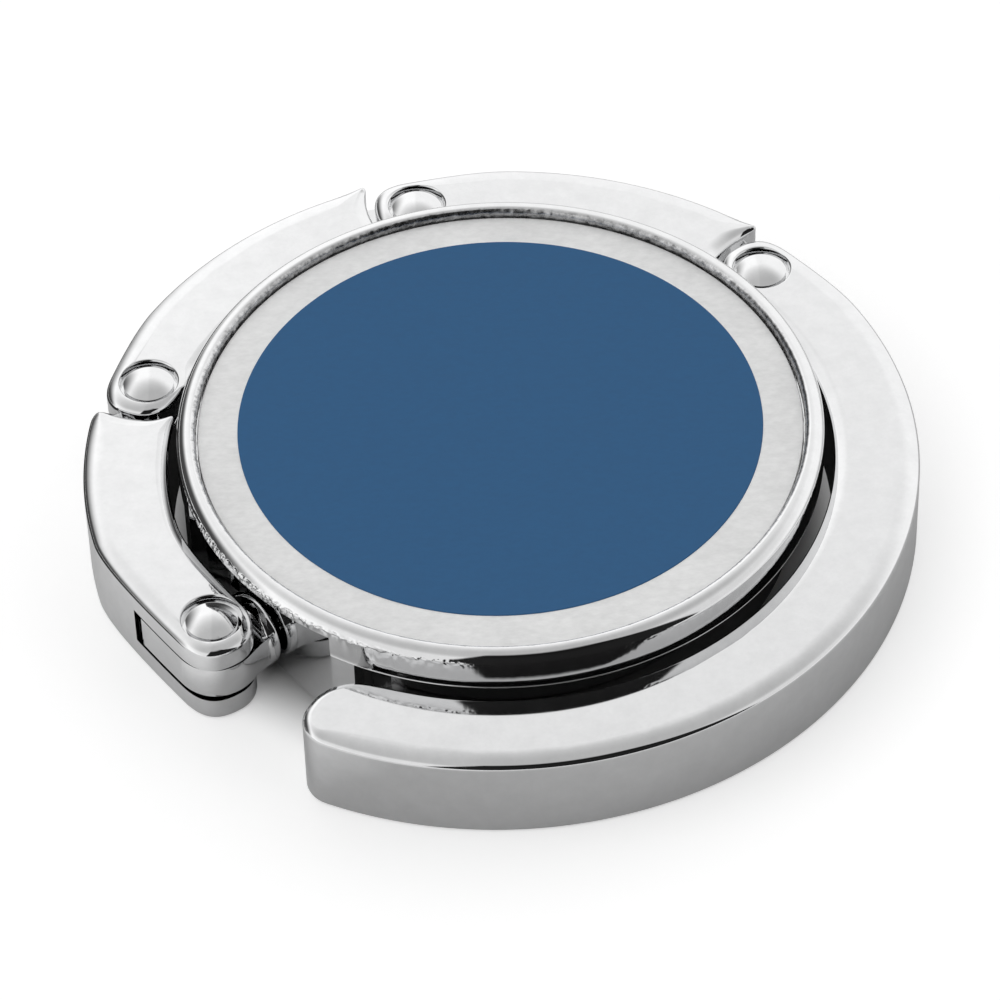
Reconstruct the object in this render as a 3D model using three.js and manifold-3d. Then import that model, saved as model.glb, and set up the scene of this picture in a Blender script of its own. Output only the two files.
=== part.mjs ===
// Folding purse hook: a plated disc with a printed insert, ringed by a chain of three links and a hook arm.
// Closed and lying face up. Millimetres, +Z up, the origin under the disc's centre on the table plane.

import * as THREE from 'three';
import { mergeVertices } from 'three/addons/utils/BufferGeometryUtils.js';
import Module from 'manifold-3d';

const wasm = await Module();
wasm.setup();

// Disc sizes
const discWallRadius = 17.1;
const discTopHeight = 7.6;
const discBaseHeight = 0.5;
const discBaseChamfer = 0.3;
const rimWidth = 0.75;
const rimInnerFillet = 0.28;
const rimOuterFillet = 0.38;
const grooveWidth = 0.12;
const grooveDepth = 0.12;
const wallHeight = 1.75;
const flangeRound = 0.25;
const undercutDepth = 1.3;
const undercutFillet = 0.8;

// Insert sizes
const insertRecess = 0.5;
const insertThickness = 0.3;
const insertAdhesiveThickness = 0.05;
const insertClearance = 0.1;
const printRadius = 14.15;
const printThickness = 0.05;

// Pad and base cavity sizes
const padWall = 1.3;
const padClearance = 0.2;
const padThickness = 0.9;
const padAdhesiveThickness = 0.1;
const padAdhesiveMargin = 0.3;
const padEdgeFillet = 0.2;
const cavityStep = 0.4;
const cavityRoof = 1.3;

// Ring sizes
const ringGap = 1.0;
const ringWidth = 4.4;
const ringThickness = 5.2;
const ringTopFillet = 0.6;
const ringBottomFillet = 0.3;
const endFillet = 0.4;

// Ear sizes, from the rivet: toward the disc, away from it, and out past the link's end
const earInner = 1.95;
const earOuter = 2.2;
const earReach = 2.35;
const innerCornerShare = 0.56;
const outerCornerShare = 0.7;

// Hinge sizes
const slotHeight = 2.35;
const tongueThickness = 1.6;
const gapAboveTongue = 0.12;
const tongueRadius = 1.95;
const slotGap = 0.4;
const tongueOverlap = 1;
const shoulderDistance = 2.72;
const shoulderArcRadius = 5.5;
const shoulderArcShift = 0.5;
const shoulderFillet = 0.35;
const shoulderSetback = 1.5;

// Rivet sizes
const shankRadius = 0.85;
const shankClearance = 0.1;
const headRadius = 1.38;
const headSideHeight = 0.25;
const domeHeight = 0.45;
const tailDomeHeight = 0.1;
const recessRadius = 1.6;
const recessDepth = 0.5;
const headGap = 0.05;

// Rivet places: angles about the disc's centre, and how far each sits inside the ring's middle
const fourthRivetAngle = 42.5;
const linkSpan = 60;
const firstLinkSpan = 54.8;
const rivetInset = 0.23;
const firstRivetInset = 1;

// Fork end blends: the span over which an ear widens into the ring's outer edge
const blendSpan = 14;
const firstBlendSpan = 22.5;
const innerBlendSpan = 22;
const innerBlendRise = 0.1;

// Swivel sizes
const lugFlatDepth = 0.9;
const lugFlatRoof = 0.1;
const lugHalfAngle = 25.5;
const lugCornerFillet = 1.0;
const swivelGap = 0.2;
const barrelRadius = 2.1;
const barrelLength = 0.75;
const barrelFillet = 0.15;
const kneeClearance = 0.2;
const spindleRadius = 1.0;
const spindleClearance = 0.1;
const lugWall = 3.3;
const washerRadius = 1.45;
const washerThickness = 0.4;
const washerGap = 0.08;
const peenedHeadRadius = 1.35;
const peenedHeadThickness = 0.5;
const spotFaceClearance = 0.05;
const spotFaceDepth = 2.0;

// Knuckle's bar, from the rivet: half widths at the barrel and at the nose, and the nose's rounded corner
const barRootHalfWidth = 1.85;
const barNoseHalfWidth = 1.6;
const barBackHalfWidth = 1.35;
const barNose = 2;
const barCorner = 0.85;

// Heel of the knuckle, which stops the first link when it has turned by its travel
const heelReach = 4.15;
const heelInner = 0.75;
const heelInset = 0.12;
const heelGap = 0.55;
const heelStopClearance = 0.1;
const firstLinkTravel = 40;
const firstSlotGap = 0.6;

// Hook arm end
const tipAngle = -120;
const tipInnerCorner = 1.9;
const tipOuterCorner = 1.2;
const cornerRunOut = 8;

// Magnets that hold the hook closed
const magnetRadius = 1;
const magnetThickness = 1.4;
const magnetClearance = 0.05;
const tipMagnetAngle = -114;
const tipMagnetCover = 0.1;
const lugMagnetAngle = -121.5;
const lugMagnetSkin = 0.7;

// Cutting overrun and facets
const overrun = 1;
const discSegments = 60;
const ringSegments = 90;
const roundSegments = 20;
const filletSegments = 3;
const outlineSegments = 8;
const domeShares = [1, 2 / 3, 1 / 3];

// Sizes that follow
const ringInnerRadius = discWallRadius + ringGap;
const ringOuterRadius = ringInnerRadius + ringWidth;
const ringMiddleRadius = (ringInnerRadius + ringOuterRadius) / 2;
const axisHeight = ringThickness / 2;
const slotTop = axisHeight + slotHeight / 2;
const slotBottom = axisHeight - slotHeight / 2;
const tongueTop = slotTop - gapAboveTongue;
const tongueBottom = tongueTop - tongueThickness;
const rimInnerRadius = discWallRadius - rimWidth;
const lowerBodyRadius = discWallRadius - undercutDepth;
const padRecessRadius = lowerBodyRadius - padWall;
const padRadius = padRecessRadius - padClearance;
const grooveTop = discTopHeight - rimOuterFillet;
const wallBottom = grooveTop - grooveWidth - wallHeight;
const insertTop = discTopHeight - insertRecess;
const insertFloor = insertTop - insertThickness - insertAdhesiveThickness;
const padRecessRoof = padThickness + padAdhesiveThickness;
const cavityTop = insertFloor - cavityRoof;
const lugFlatDistance = discWallRadius - lugFlatDepth;
const barrelFace = lugFlatDistance + swivelGap;
const lugSeat = lugFlatDistance - lugWall;
const cavityRadius = lugSeat - cavityStep;
const innerLimit = discWallRadius - overrun;

const degree = Math.PI / 180;

// Materials
const plating = { color: 0xe4e5e6, roughness: 0.08, metalness: 1 };
const steel = { color: 0xb9babd, roughness: 0.3, metalness: 1 };
const nickel = { color: 0xcfcdc8, roughness: 0.25, metalness: 1 };
const insertMetal = { color: 0xd9d9d8, roughness: 0.55, metalness: 0.3 };
const blueInk = { color: 0x395e84, roughness: 0.6, metalness: 0 };
const glue = { color: 0xb9b4a6, roughness: 0.7, metalness: 0 };
const rubber = { color: 0x1d1d1f, roughness: 0.85, metalness: 0 };

// Point at a radius and an angle in degrees about a centre
function polar(radius, angle, centre = new THREE.Vector2()) {
  return new THREE.Vector2(
    centre.x + radius * Math.cos(angle * degree),
    centre.y + radius * Math.sin(angle * degree),
  );
}

// Closed solid from a three.js geometry, with merged vertices and its faces outward
function solid(geometry) {
  const bare = geometry.clone();
  bare.deleteAttribute('normal');
  bare.deleteAttribute('uv');
  const merged = mergeVertices(bare);
  const vertices = merged.attributes.position.array;
  const corners = merged.index.array;
  const kept = [];
  let volume = 0;
  const a = new THREE.Vector3();
  const b = new THREE.Vector3();
  const c = new THREE.Vector3();
  for (let i = 0; i < corners.length; i += 3) {
    const [p, q, r] = [corners[i], corners[i + 1], corners[i + 2]];
    if (p === q || q === r || r === p) continue;
    kept.push(p, q, r);
    a.fromArray(vertices, 3 * p);
    b.fromArray(vertices, 3 * q);
    c.fromArray(vertices, 3 * r);
    volume += a.dot(b.cross(c));
  }
  if (volume < 0) kept.reverse();
  return new wasm.Manifold(new wasm.Mesh({
    numProp: 3,
    vertProperties: Float32Array.from(vertices),
    triVerts: Uint32Array.from(kept),
  }));
}

// three.js geometry from a solid
function geometryOf(body) {
  const mesh = body.getMesh();
  const geometry = new THREE.BufferGeometry();
  geometry.setAttribute('position', new THREE.BufferAttribute(mesh.vertProperties, 3));
  geometry.setIndex(new THREE.BufferAttribute(mesh.triVerts, 1));
  geometry.computeVertexNormals();
  return geometry;
}

// Solid of revolution about Z from a profile of radius and height
function turned(profile, segments) {
  const geometry = new THREE.LatheGeometry(profile, segments);
  geometry.rotateX(Math.PI / 2);
  return solid(geometry);
}

// Upright prism of an outline between two heights
function prism(shape, bottom, top, segments = outlineSegments) {
  const geometry = new THREE.ExtrudeGeometry(shape, {
    depth: top - bottom,
    bevelEnabled: false,
    curveSegments: segments,
  });
  geometry.translate(0, 0, bottom);
  return solid(geometry);
}

// Upright prism whose top and bottom edges are rounded inward
function roundedPrism(shape, bottom, top, fillet, segments = outlineSegments) {
  const geometry = new THREE.ExtrudeGeometry(shape, {
    depth: top - bottom - 2 * fillet,
    bevelThickness: fillet,
    bevelSize: fillet,
    bevelOffset: -fillet,
    bevelSegments: filletSegments,
    curveSegments: segments,
  });
  geometry.translate(0, 0, bottom + fillet);
  return solid(geometry);
}

// Upright cylinder between two heights
function cylinder(centre, radius, bottom, top, segments = roundSegments) {
  const geometry = new THREE.CylinderGeometry(radius, radius, top - bottom, segments);
  geometry.rotateX(Math.PI / 2);
  geometry.translate(centre.x, centre.y, (top + bottom) / 2);
  return solid(geometry);
}

// Solid of revolution about a level axis that leaves the disc's centre at an angle;
// the profile gives radius and distance along the axis
function turnedAlong(angle, profile, segments = roundSegments) {
  const geometry = new THREE.LatheGeometry(profile, segments);
  geometry.rotateZ(-Math.PI / 2);
  geometry.rotateZ(angle * degree);
  geometry.translate(0, 0, axisHeight);
  return solid(geometry);
}

// Profile of a plain cylinder from one distance to another
function barProfile(radius, start, end) {
  return [
    new THREE.Vector2(0, start),
    new THREE.Vector2(radius, start),
    new THREE.Vector2(radius, end),
    new THREE.Vector2(0, end),
  ];
}

// Points of a quarter or part round, in degrees
function arcPoints(centre, radius, startAngle, endAngle, steps = filletSegments) {
  const points = [];
  for (let step = 0; step <= steps; step += 1) {
    points.push(polar(radius, THREE.MathUtils.lerp(startAngle, endAngle, step / steps), centre));
  }
  return points;
}

// Crossing of two lines, each given by a point and a heading in degrees
function crossing(start, startHeading, end, endHeading) {
  const ahead = polar(1, startHeading);
  const back = polar(1, endHeading);
  const apart = end.clone().sub(start);
  const reach = apart.cross(back) / ahead.cross(back);
  return start.clone().add(ahead.multiplyScalar(reach));
}

const quarter = 90;
const half = 180;

// Hinge at an angle: its rivet's centre and the span of its fork's blend into the ring
function hinge(angle, inset, span) {
  return { angle, centre: polar(ringMiddleRadius - inset, angle), span };
}

const hinges = {
  first: hinge(fourthRivetAngle + 2 * linkSpan + firstLinkSpan, firstRivetInset, firstBlendSpan),
  second: hinge(fourthRivetAngle + 2 * linkSpan, rivetInset, blendSpan),
  third: hinge(fourthRivetAngle + linkSpan, rivetInset, blendSpan),
  fourth: hinge(fourthRivetAngle, rivetInset, blendSpan),
};
const swivelAngle = hinges.first.angle;

// Point measured from a hinge's rivet: away from the disc's centre, and on round the ring
function beside(place, outward, onward, turn = 0) {
  const point = new THREE.Vector2(outward, onward);
  point.rotateAround(new THREE.Vector2(), (place.angle + turn) * degree);
  return point.add(place.centre);
}

// Ring blank with its rounded outer edges, down to an inner radius
function ringBlank(innerRadius) {
  const bottomRound = new THREE.Vector2(ringOuterRadius - ringBottomFillet, ringBottomFillet);
  const topHeight = ringThickness - ringTopFillet;
  const topRound = new THREE.Vector2(ringOuterRadius - ringTopFillet, topHeight);
  const profile = [
    new THREE.Vector2(innerRadius, 0),
    ...arcPoints(bottomRound, ringBottomFillet, -quarter, 0),
    ...arcPoints(topRound, ringTopFillet, 0, quarter),
    new THREE.Vector2(innerRadius, ringThickness),
    new THREE.Vector2(innerRadius, 0),
  ];
  return turned(profile, ringSegments);
}

// Start of a link's outline: round its ear, and from there along the blend onto the ring's full width
function forkOutline(shape, place) {
  const curve = (points) => shape.bezierCurveTo(...points.flatMap((point) => [point.x, point.y]));
  const root = beside(place, -earInner, 0);
  const side = beside(place, earOuter, 0);
  const ringPoint = polar(ringOuterRadius, place.angle - place.span);
  const ringHeading = place.angle - place.span - quarter;
  const control = crossing(side, place.angle - quarter, ringPoint, ringHeading);
  const outside = polar(overrun, ringHeading, ringPoint);
  shape.moveTo(root.x, root.y);
  curve([
    beside(place, -earInner, earReach * innerCornerShare),
    beside(place, -earInner * innerCornerShare, earReach),
    beside(place, 0, earReach),
  ]);
  curve([
    beside(place, earOuter * outerCornerShare, earReach),
    beside(place, earOuter, earReach * outerCornerShare),
    side,
  ]);
  shape.quadraticCurveTo(control.x, control.y, ringPoint.x, ringPoint.y);
  shape.lineTo(outside.x, outside.y);
  return Math.atan2(outside.y, outside.x);
}

// Close of a link's outline inside the ring, back to the root of its ear
function innerReturn(shape, place, fromAngle) {
  const root = beside(place, -earInner, 0);
  shape.absarc(0, 0, innerLimit, fromAngle * degree, place.angle * degree, false);
  shape.lineTo(root.x, root.y);
}

// Outline of a link between two hinges, ending where its shoulder is cut for the next ear
function linkOutline(fork, next) {
  const shape = new THREE.Shape();
  const start = forkOutline(shape, fork);
  const setback = Math.asin(shoulderSetback / ringMiddleRadius) / degree;
  const endAngle = next.angle + setback;
  const from = start < 0 ? start + 2 * Math.PI : start;
  const inner = polar(innerLimit, endAngle);
  shape.absarc(0, 0, ringOuterRadius + overrun, from, endAngle * degree, true);
  shape.lineTo(inner.x, inner.y);
  innerReturn(shape, fork, endAngle);
  return shape;
}

// Hole for a rivet's shank through the whole ring
function shankHole(place) {
  return cylinder(place.centre, shankRadius + shankClearance, -overrun, ringThickness + overrun);
}

// Fork: the slot between its ears, the rivet's hole and the recesses for its head and tail
function withFork(body, place, slot) {
  return body
    .subtract(slot)
    .subtract(shankHole(place))
    .subtract(cylinder(place.centre, recessRadius, ringThickness - recessDepth, ringThickness + overrun))
    .subtract(cylinder(place.centre, recessRadius, -overrun, recessDepth));
}

// Slot of a fork: round behind the rivet, and open past the ends of both ears
function openSlot(place, radius) {
  const mouth = new THREE.Shape([
    beside(place, -shoulderDistance, 0),
    beside(place, shoulderDistance, 0),
    beside(place, shoulderDistance, shoulderDistance),
    beside(place, -shoulderDistance, shoulderDistance),
  ]);
  const round = cylinder(place.centre, radius, slotBottom, slotTop);
  return round.add(prism(mouth, slotBottom, slotTop));
}

// Slot of the first link: round the rivet, and a pocket in which the knuckle's heel swings to its stop
function heelSlot() {
  const place = hinges.first;
  const face = heelInner - heelStopClearance;
  const far = 2 * heelReach;
  const swung = new THREE.Shape([
    beside(place, face, far, -firstLinkTravel),
    beside(place, face, -far, -firstLinkTravel),
    beside(place, far, -far, -firstLinkTravel),
    beside(place, far, far, -firstLinkTravel),
  ]);
  const pocket = cylinder(place.centre, heelReach + heelGap, slotBottom, slotTop, discSegments);
  const swing = pocket.intersect(prism(swung, slotBottom - overrun, slotTop + overrun));
  return swing.add(openSlot(place, tongueRadius + firstSlotGap));
}

// Bore of the first link: the ring's inner wall, drawn in toward the disc where the ear is
function firstBore() {
  const place = hinges.first;
  const start = polar(ringInnerRadius + innerBlendRise, place.angle - innerBlendSpan);
  const end = beside(place, -earInner, 0);
  const startHeading = place.angle - innerBlendSpan + quarter;
  const control = crossing(start, startHeading, end, place.angle - quarter);
  const past = beside(place, -earInner, 2 * earReach);
  const outer = beside(place, earOuter, 2 * earReach);
  const back = polar(ringOuterRadius, place.angle - innerBlendSpan);
  const kept = new THREE.Shape();
  kept.moveTo(start.x, start.y);
  kept.quadraticCurveTo(control.x, control.y, end.x, end.y);
  kept.lineTo(past.x, past.y);
  kept.lineTo(outer.x, outer.y);
  kept.lineTo(back.x, back.y);
  kept.closePath();
  const top = ringThickness + overrun;
  const bore = cylinder(new THREE.Vector2(), ringInnerRadius, -overrun, top, ringSegments);
  return bore.subtract(prism(kept, -2 * overrun, top + overrun));
}

// Outline of a tongue: a round nose on the rivet and straight flanks back into its own link
function tongueOutline(place) {
  const shape = new THREE.Shape();
  const length = shoulderDistance + tongueOverlap;
  const outer = beside(place, tongueRadius, 0);
  const outerEnd = beside(place, tongueRadius, length);
  const innerEnd = beside(place, -tongueRadius, length);
  const startAngle = place.angle * degree;
  shape.moveTo(outer.x, outer.y);
  shape.absarc(place.centre.x, place.centre.y, tongueRadius, startAngle, startAngle - Math.PI, true);
  shape.lineTo(innerEnd.x, innerEnd.y);
  shape.lineTo(outerEnd.x, outerEnd.y);
  shape.closePath();
  return shape;
}

// Cutter for a link's shoulder: a shallow arc facing the next ear, flared so that it rounds both edges
function shoulderCutter(place) {
  const flare = shoulderArcRadius + shoulderFillet;
  const lower = new THREE.Vector2(flare, shoulderFillet);
  const upper = new THREE.Vector2(flare, ringThickness - shoulderFillet);
  const centre = beside(place, shoulderArcShift, shoulderDistance - shoulderArcRadius);
  const cutter = turned([
    new THREE.Vector2(0, -overrun),
    new THREE.Vector2(flare, -overrun),
    ...arcPoints(lower, shoulderFillet, -quarter, -half),
    ...arcPoints(upper, shoulderFillet, half, quarter),
    new THREE.Vector2(flare, ringThickness + overrun),
    new THREE.Vector2(0, ringThickness + overrun),
  ], discSegments);
  return cutter.translate([centre.x, centre.y, 0]);
}

// Tongue end of a link: its shoulder, and the tongue that enters the next fork's slot
function withTongue(body, place) {
  const tongue = prism(tongueOutline(place), tongueBottom, tongueTop);
  return body.subtract(shoulderCutter(place)).add(tongue).subtract(shankHole(place));
}

// First link: its fork reaches in past the ring's inner wall, to the knuckle
function firstLink() {
  const { first, second } = hinges;
  const outline = linkOutline(first, second);
  const body = roundedPrism(outline, 0, ringThickness, endFillet).intersect(ringBlank(innerLimit));
  return withTongue(withFork(body.subtract(firstBore()), first, heelSlot()), second);
}

// Link from a fork at one hinge to a tongue at the next
function link(blank, fork, next) {
  const body = roundedPrism(linkOutline(fork, next), 0, ringThickness, endFillet).intersect(blank);
  return withTongue(withFork(body, fork, openSlot(fork, tongueRadius + slotGap)), next);
}

// Outline of the hook arm, from its fork round to the free end with its two corner rounds
function hookOutline() {
  const place = hinges.fourth;
  const shape = new THREE.Shape();
  const start = forkOutline(shape, place);
  const outerCentreRadius = ringOuterRadius - tipOuterCorner;
  const outerAngle = tipAngle + Math.asin(tipOuterCorner / outerCentreRadius) / degree;
  const outerCentre = polar(outerCentreRadius, outerAngle);
  const innerCentreRadius = ringInnerRadius + tipInnerCorner;
  const innerAngle = tipAngle + Math.asin(tipInnerCorner / innerCentreRadius) / degree;
  const innerCentre = polar(innerCentreRadius, innerAngle);
  const inside = polar(innerLimit, innerAngle + cornerRunOut);
  shape.absarc(0, 0, ringOuterRadius + overrun, start, outerAngle * degree, true);
  shape.absarc(
    outerCentre.x,
    outerCentre.y,
    tipOuterCorner,
    (outerAngle - cornerRunOut) * degree,
    (tipAngle - quarter) * degree,
    true,
  );
  shape.absarc(
    innerCentre.x,
    innerCentre.y,
    tipInnerCorner,
    (tipAngle - quarter) * degree,
    (innerAngle - half + cornerRunOut) * degree,
    true,
  );
  shape.lineTo(inside.x, inside.y);
  innerReturn(shape, place, innerAngle + cornerRunOut);
  return shape;
}

// Hook arm: the fork at the last rivet, the long open arm and the magnet's pocket near its free end
function hookArm(blank) {
  const body = roundedPrism(hookOutline(), 0, ringThickness, endFillet).intersect(blank);
  const pocketEnd = ringInnerRadius + tipMagnetCover + magnetThickness + magnetClearance;
  const pocket = turnedAlong(
    tipMagnetAngle,
    barProfile(magnetRadius + magnetClearance, innerLimit, pocketEnd),
  );
  const slot = openSlot(hinges.fourth, tongueRadius + slotGap);
  return withFork(body, hinges.fourth, slot).subtract(pocket);
}

// Domed rivet: head in the top recess, shank through both ears, spread tail in the bottom recess
function rivet() {
  const headSeat = ringThickness - recessDepth + headGap;
  const headEdge = headSeat + headSideHeight;
  const tailSeat = recessDepth - headGap;
  const tailEdge = tailSeat - headSideHeight;
  const dome = (edge, rise) => domeShares.map((share) => new THREE.Vector2(
    headRadius * share,
    edge + rise * (1 - share * share),
  ));
  const profile = [
    new THREE.Vector2(0, tailEdge - tailDomeHeight),
    ...dome(tailEdge, -tailDomeHeight).reverse(),
    new THREE.Vector2(headRadius, tailSeat),
    new THREE.Vector2(shankRadius, tailSeat),
    new THREE.Vector2(shankRadius, headSeat),
    new THREE.Vector2(headRadius, headSeat),
    ...dome(headEdge, domeHeight),
    new THREE.Vector2(0, headEdge + domeHeight),
  ];
  return turned(profile, roundSegments);
}

// Disc casting as turned: rim with its seat for the insert, groove, wall, flange, undercut and base cavity
function discTurning() {
  const rimOuter = new THREE.Vector2(discWallRadius - rimOuterFillet, discTopHeight - rimOuterFillet);
  const rimInner = new THREE.Vector2(rimInnerRadius + rimInnerFillet, discTopHeight - rimInnerFillet);
  const flange = new THREE.Vector2(discWallRadius - flangeRound, wallBottom + flangeRound);
  const neck = new THREE.Vector2(lowerBodyRadius + undercutFillet, wallBottom - undercutFillet);
  const profile = [
    new THREE.Vector2(0, cavityTop),
    new THREE.Vector2(cavityRadius, cavityTop),
    new THREE.Vector2(cavityRadius, padRecessRoof),
    new THREE.Vector2(padRecessRadius, padRecessRoof),
    new THREE.Vector2(padRecessRadius, discBaseHeight),
    new THREE.Vector2(lowerBodyRadius - discBaseChamfer, discBaseHeight),
    new THREE.Vector2(lowerBodyRadius, discBaseHeight + discBaseChamfer),
    ...arcPoints(neck, undercutFillet, half, quarter),
    ...arcPoints(flange, flangeRound, -quarter, 0),
    new THREE.Vector2(discWallRadius, grooveTop - grooveWidth),
    new THREE.Vector2(discWallRadius - grooveDepth, grooveTop - grooveWidth / 2),
    ...arcPoints(rimOuter, rimOuterFillet, 0, quarter),
    ...arcPoints(rimInner, rimInnerFillet, quarter, half),
    new THREE.Vector2(rimInnerRadius, insertFloor),
    new THREE.Vector2(0, insertFloor),
  ];
  return turned(profile, discSegments);
}

// Lug on the disc's edge: full height under the flange, filleted into the undercut at both sides
function lug() {
  const shape = new THREE.Shape();
  const start = swivelAngle - lugHalfAngle;
  const end = swivelAngle + lugHalfAngle;
  const spread = Math.asin(lugCornerFillet / lowerBodyRadius) / degree;
  const innerStart = polar(cavityRadius + (lowerBodyRadius - cavityRadius) / 2, start - 2 * spread);
  const innerEnd = polar(innerStart.length(), end + 2 * spread);
  const rootStart = polar(lowerBodyRadius, start - 2 * spread);
  const rootEnd = polar(lowerBodyRadius, end + 2 * spread);
  const faceStart = polar(lowerBodyRadius + lugCornerFillet, start);
  const faceEnd = polar(lowerBodyRadius + lugCornerFillet, end);
  const bendStart = polar(lowerBodyRadius, start);
  const bendEnd = polar(lowerBodyRadius, end);
  shape.moveTo(innerStart.x, innerStart.y);
  shape.lineTo(rootStart.x, rootStart.y);
  shape.quadraticCurveTo(bendStart.x, bendStart.y, faceStart.x, faceStart.y);
  shape.absarc(0, 0, discWallRadius, start * degree, end * degree, false);
  shape.lineTo(faceEnd.x, faceEnd.y);
  shape.quadraticCurveTo(bendEnd.x, bendEnd.y, rootEnd.x, rootEnd.y);
  shape.lineTo(innerEnd.x, innerEnd.y);
  shape.absarc(0, 0, innerStart.length(), (end + 2 * spread) * degree, (start - 2 * spread) * degree, true);
  return prism(shape, discBaseHeight, wallBottom + flangeRound);
}

// Block that cuts the flat seat for the swivel barrel, through lug and wall up to just under the insert
function lugFlatCut() {
  const width = 2 * discWallRadius;
  const depth = lugFlatDepth + overrun;
  const top = insertFloor - lugFlatRoof;
  const height = top + overrun;
  const geometry = new THREE.BoxGeometry(depth, width, height);
  geometry.translate(lugFlatDistance + depth / 2, 0, top - height / 2);
  geometry.rotateZ(swivelAngle * degree);
  return solid(geometry);
}

// Disc body: turned casting with the lug, its flat, the spindle's bore and seat, and the magnet's pocket
function discBody() {
  const pad = cylinder(new THREE.Vector2(), padRecessRadius, -overrun, padRecessRoof, discSegments);
  const cavity = cylinder(new THREE.Vector2(), cavityRadius, 0, cavityTop, discSegments);
  const bore = barProfile(spindleRadius + spindleClearance, lugSeat - overrun, discWallRadius + overrun);
  const spotFace = barProfile(washerRadius + spotFaceClearance, lugSeat - spotFaceDepth, lugSeat);
  const magnetEnd = discWallRadius - lugMagnetSkin;
  const magnetPocket = barProfile(magnetRadius + magnetClearance, cavityRadius - overrun, magnetEnd);
  return discTurning()
    .add(lug())
    .subtract(lugFlatCut())
    .subtract(pad)
    .subtract(cavity)
    .subtract(turnedAlong(swivelAngle, bore))
    .subtract(turnedAlong(swivelAngle, spotFace))
    .subtract(turnedAlong(lugMagnetAngle, magnetPocket));
}

// Flat round piece with an optional rounded lower edge
function plate(radius, bottom, top, lowerFillet = 0) {
  const round = new THREE.Vector2(radius - lowerFillet, bottom + lowerFillet);
  const corner = [new THREE.Vector2(radius, bottom)];
  const edge = lowerFillet > 0 ? arcPoints(round, lowerFillet, -quarter, 0) : corner;
  return turned([
    new THREE.Vector2(0, bottom),
    ...edge,
    new THREE.Vector2(radius, top),
    new THREE.Vector2(0, top),
  ], discSegments);
}

// Outline of the knuckle's bar with its heel: out from the barrel, round the nose, on inside the first link
function kneeOutline() {
  const place = hinges.first;
  const root = barrelFace + barrelFillet - place.centre.length();
  const ringPoint = polar(ringOuterRadius - heelInset, place.angle - place.span);
  const ringHeading = place.angle - place.span - quarter;
  const nose = beside(place, barNose, barNoseHalfWidth - barCorner);
  const control = crossing(nose, place.angle - quarter, ringPoint, ringHeading);
  const corner = beside(place, barNose, barNoseHalfWidth);
  const points = {
    start: beside(place, root, barRootHalfWidth),
    bend: beside(place, barNose - barCorner, barNoseHalfWidth),
    heelEnd: beside(place, heelInner, -2 * heelReach),
    heelRoot: beside(place, heelInner, -barBackHalfWidth),
    back: beside(place, root, -barBackHalfWidth),
  };
  const shape = new THREE.Shape();
  shape.moveTo(points.start.x, points.start.y);
  shape.lineTo(points.bend.x, points.bend.y);
  shape.quadraticCurveTo(corner.x, corner.y, nose.x, nose.y);
  shape.quadraticCurveTo(control.x, control.y, ringPoint.x, ringPoint.y);
  shape.lineTo(points.heelEnd.x, points.heelEnd.y);
  shape.lineTo(points.heelRoot.x, points.heelRoot.y);
  shape.lineTo(points.back.x, points.back.y);
  shape.closePath();
  return shape;
}

// Swivel knuckle: barrel against the lug, spindle through it with a peened end, tongue and heel
function knuckle() {
  const { angle, centre } = hinges.first;
  const barrelEnd = barrelFace + barrelLength;
  const headTop = lugSeat - washerThickness - 2 * washerGap;
  const nearRound = new THREE.Vector2(barrelRadius - barrelFillet, barrelFace + barrelFillet);
  const farRound = new THREE.Vector2(barrelRadius - barrelFillet, barrelEnd - barrelFillet);
  const turning = turnedAlong(angle, [
    new THREE.Vector2(0, headTop - peenedHeadThickness),
    new THREE.Vector2(spindleRadius, headTop - peenedHeadThickness),
    new THREE.Vector2(peenedHeadRadius, headTop - peenedHeadThickness / 2),
    new THREE.Vector2(peenedHeadRadius, headTop),
    new THREE.Vector2(spindleRadius, headTop),
    new THREE.Vector2(spindleRadius, barrelFace),
    ...arcPoints(nearRound, barrelFillet, -quarter, 0),
    ...arcPoints(farRound, barrelFillet, 0, quarter),
    new THREE.Vector2(0, barrelEnd),
  ]);
  const kneeRadius = earReach + kneeClearance;
  const ears = cylinder(centre, kneeRadius, tongueTop, ringThickness + overrun)
    .add(cylinder(centre, kneeRadius, -overrun, tongueBottom));
  const reach = cylinder(centre, heelReach, tongueBottom - overrun, tongueTop + overrun, discSegments);
  const bar = prism(kneeOutline(), tongueBottom, tongueTop).intersect(reach);
  return turning.subtract(ears).add(bar).subtract(shankHole(hinges.first));
}

// Washer behind the lug, under the spindle's peened end
function swivelWasher() {
  const inner = spindleRadius + spindleClearance;
  const start = lugSeat - washerGap - washerThickness;
  const end = lugSeat - washerGap;
  return turnedAlong(swivelAngle, [
    new THREE.Vector2(inner, start),
    new THREE.Vector2(washerRadius, start),
    new THREE.Vector2(washerRadius, end),
    new THREE.Vector2(inner, end),
    new THREE.Vector2(inner, start),
  ]);
}

// Named mesh of one piece
function piece(name, body, material, centre = new THREE.Vector2()) {
  const mesh = new THREE.Mesh(geometryOf(body), new THREE.MeshStandardMaterial(material));
  mesh.name = name;
  mesh.position.set(centre.x, centre.y, 0);
  return mesh;
}

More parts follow.
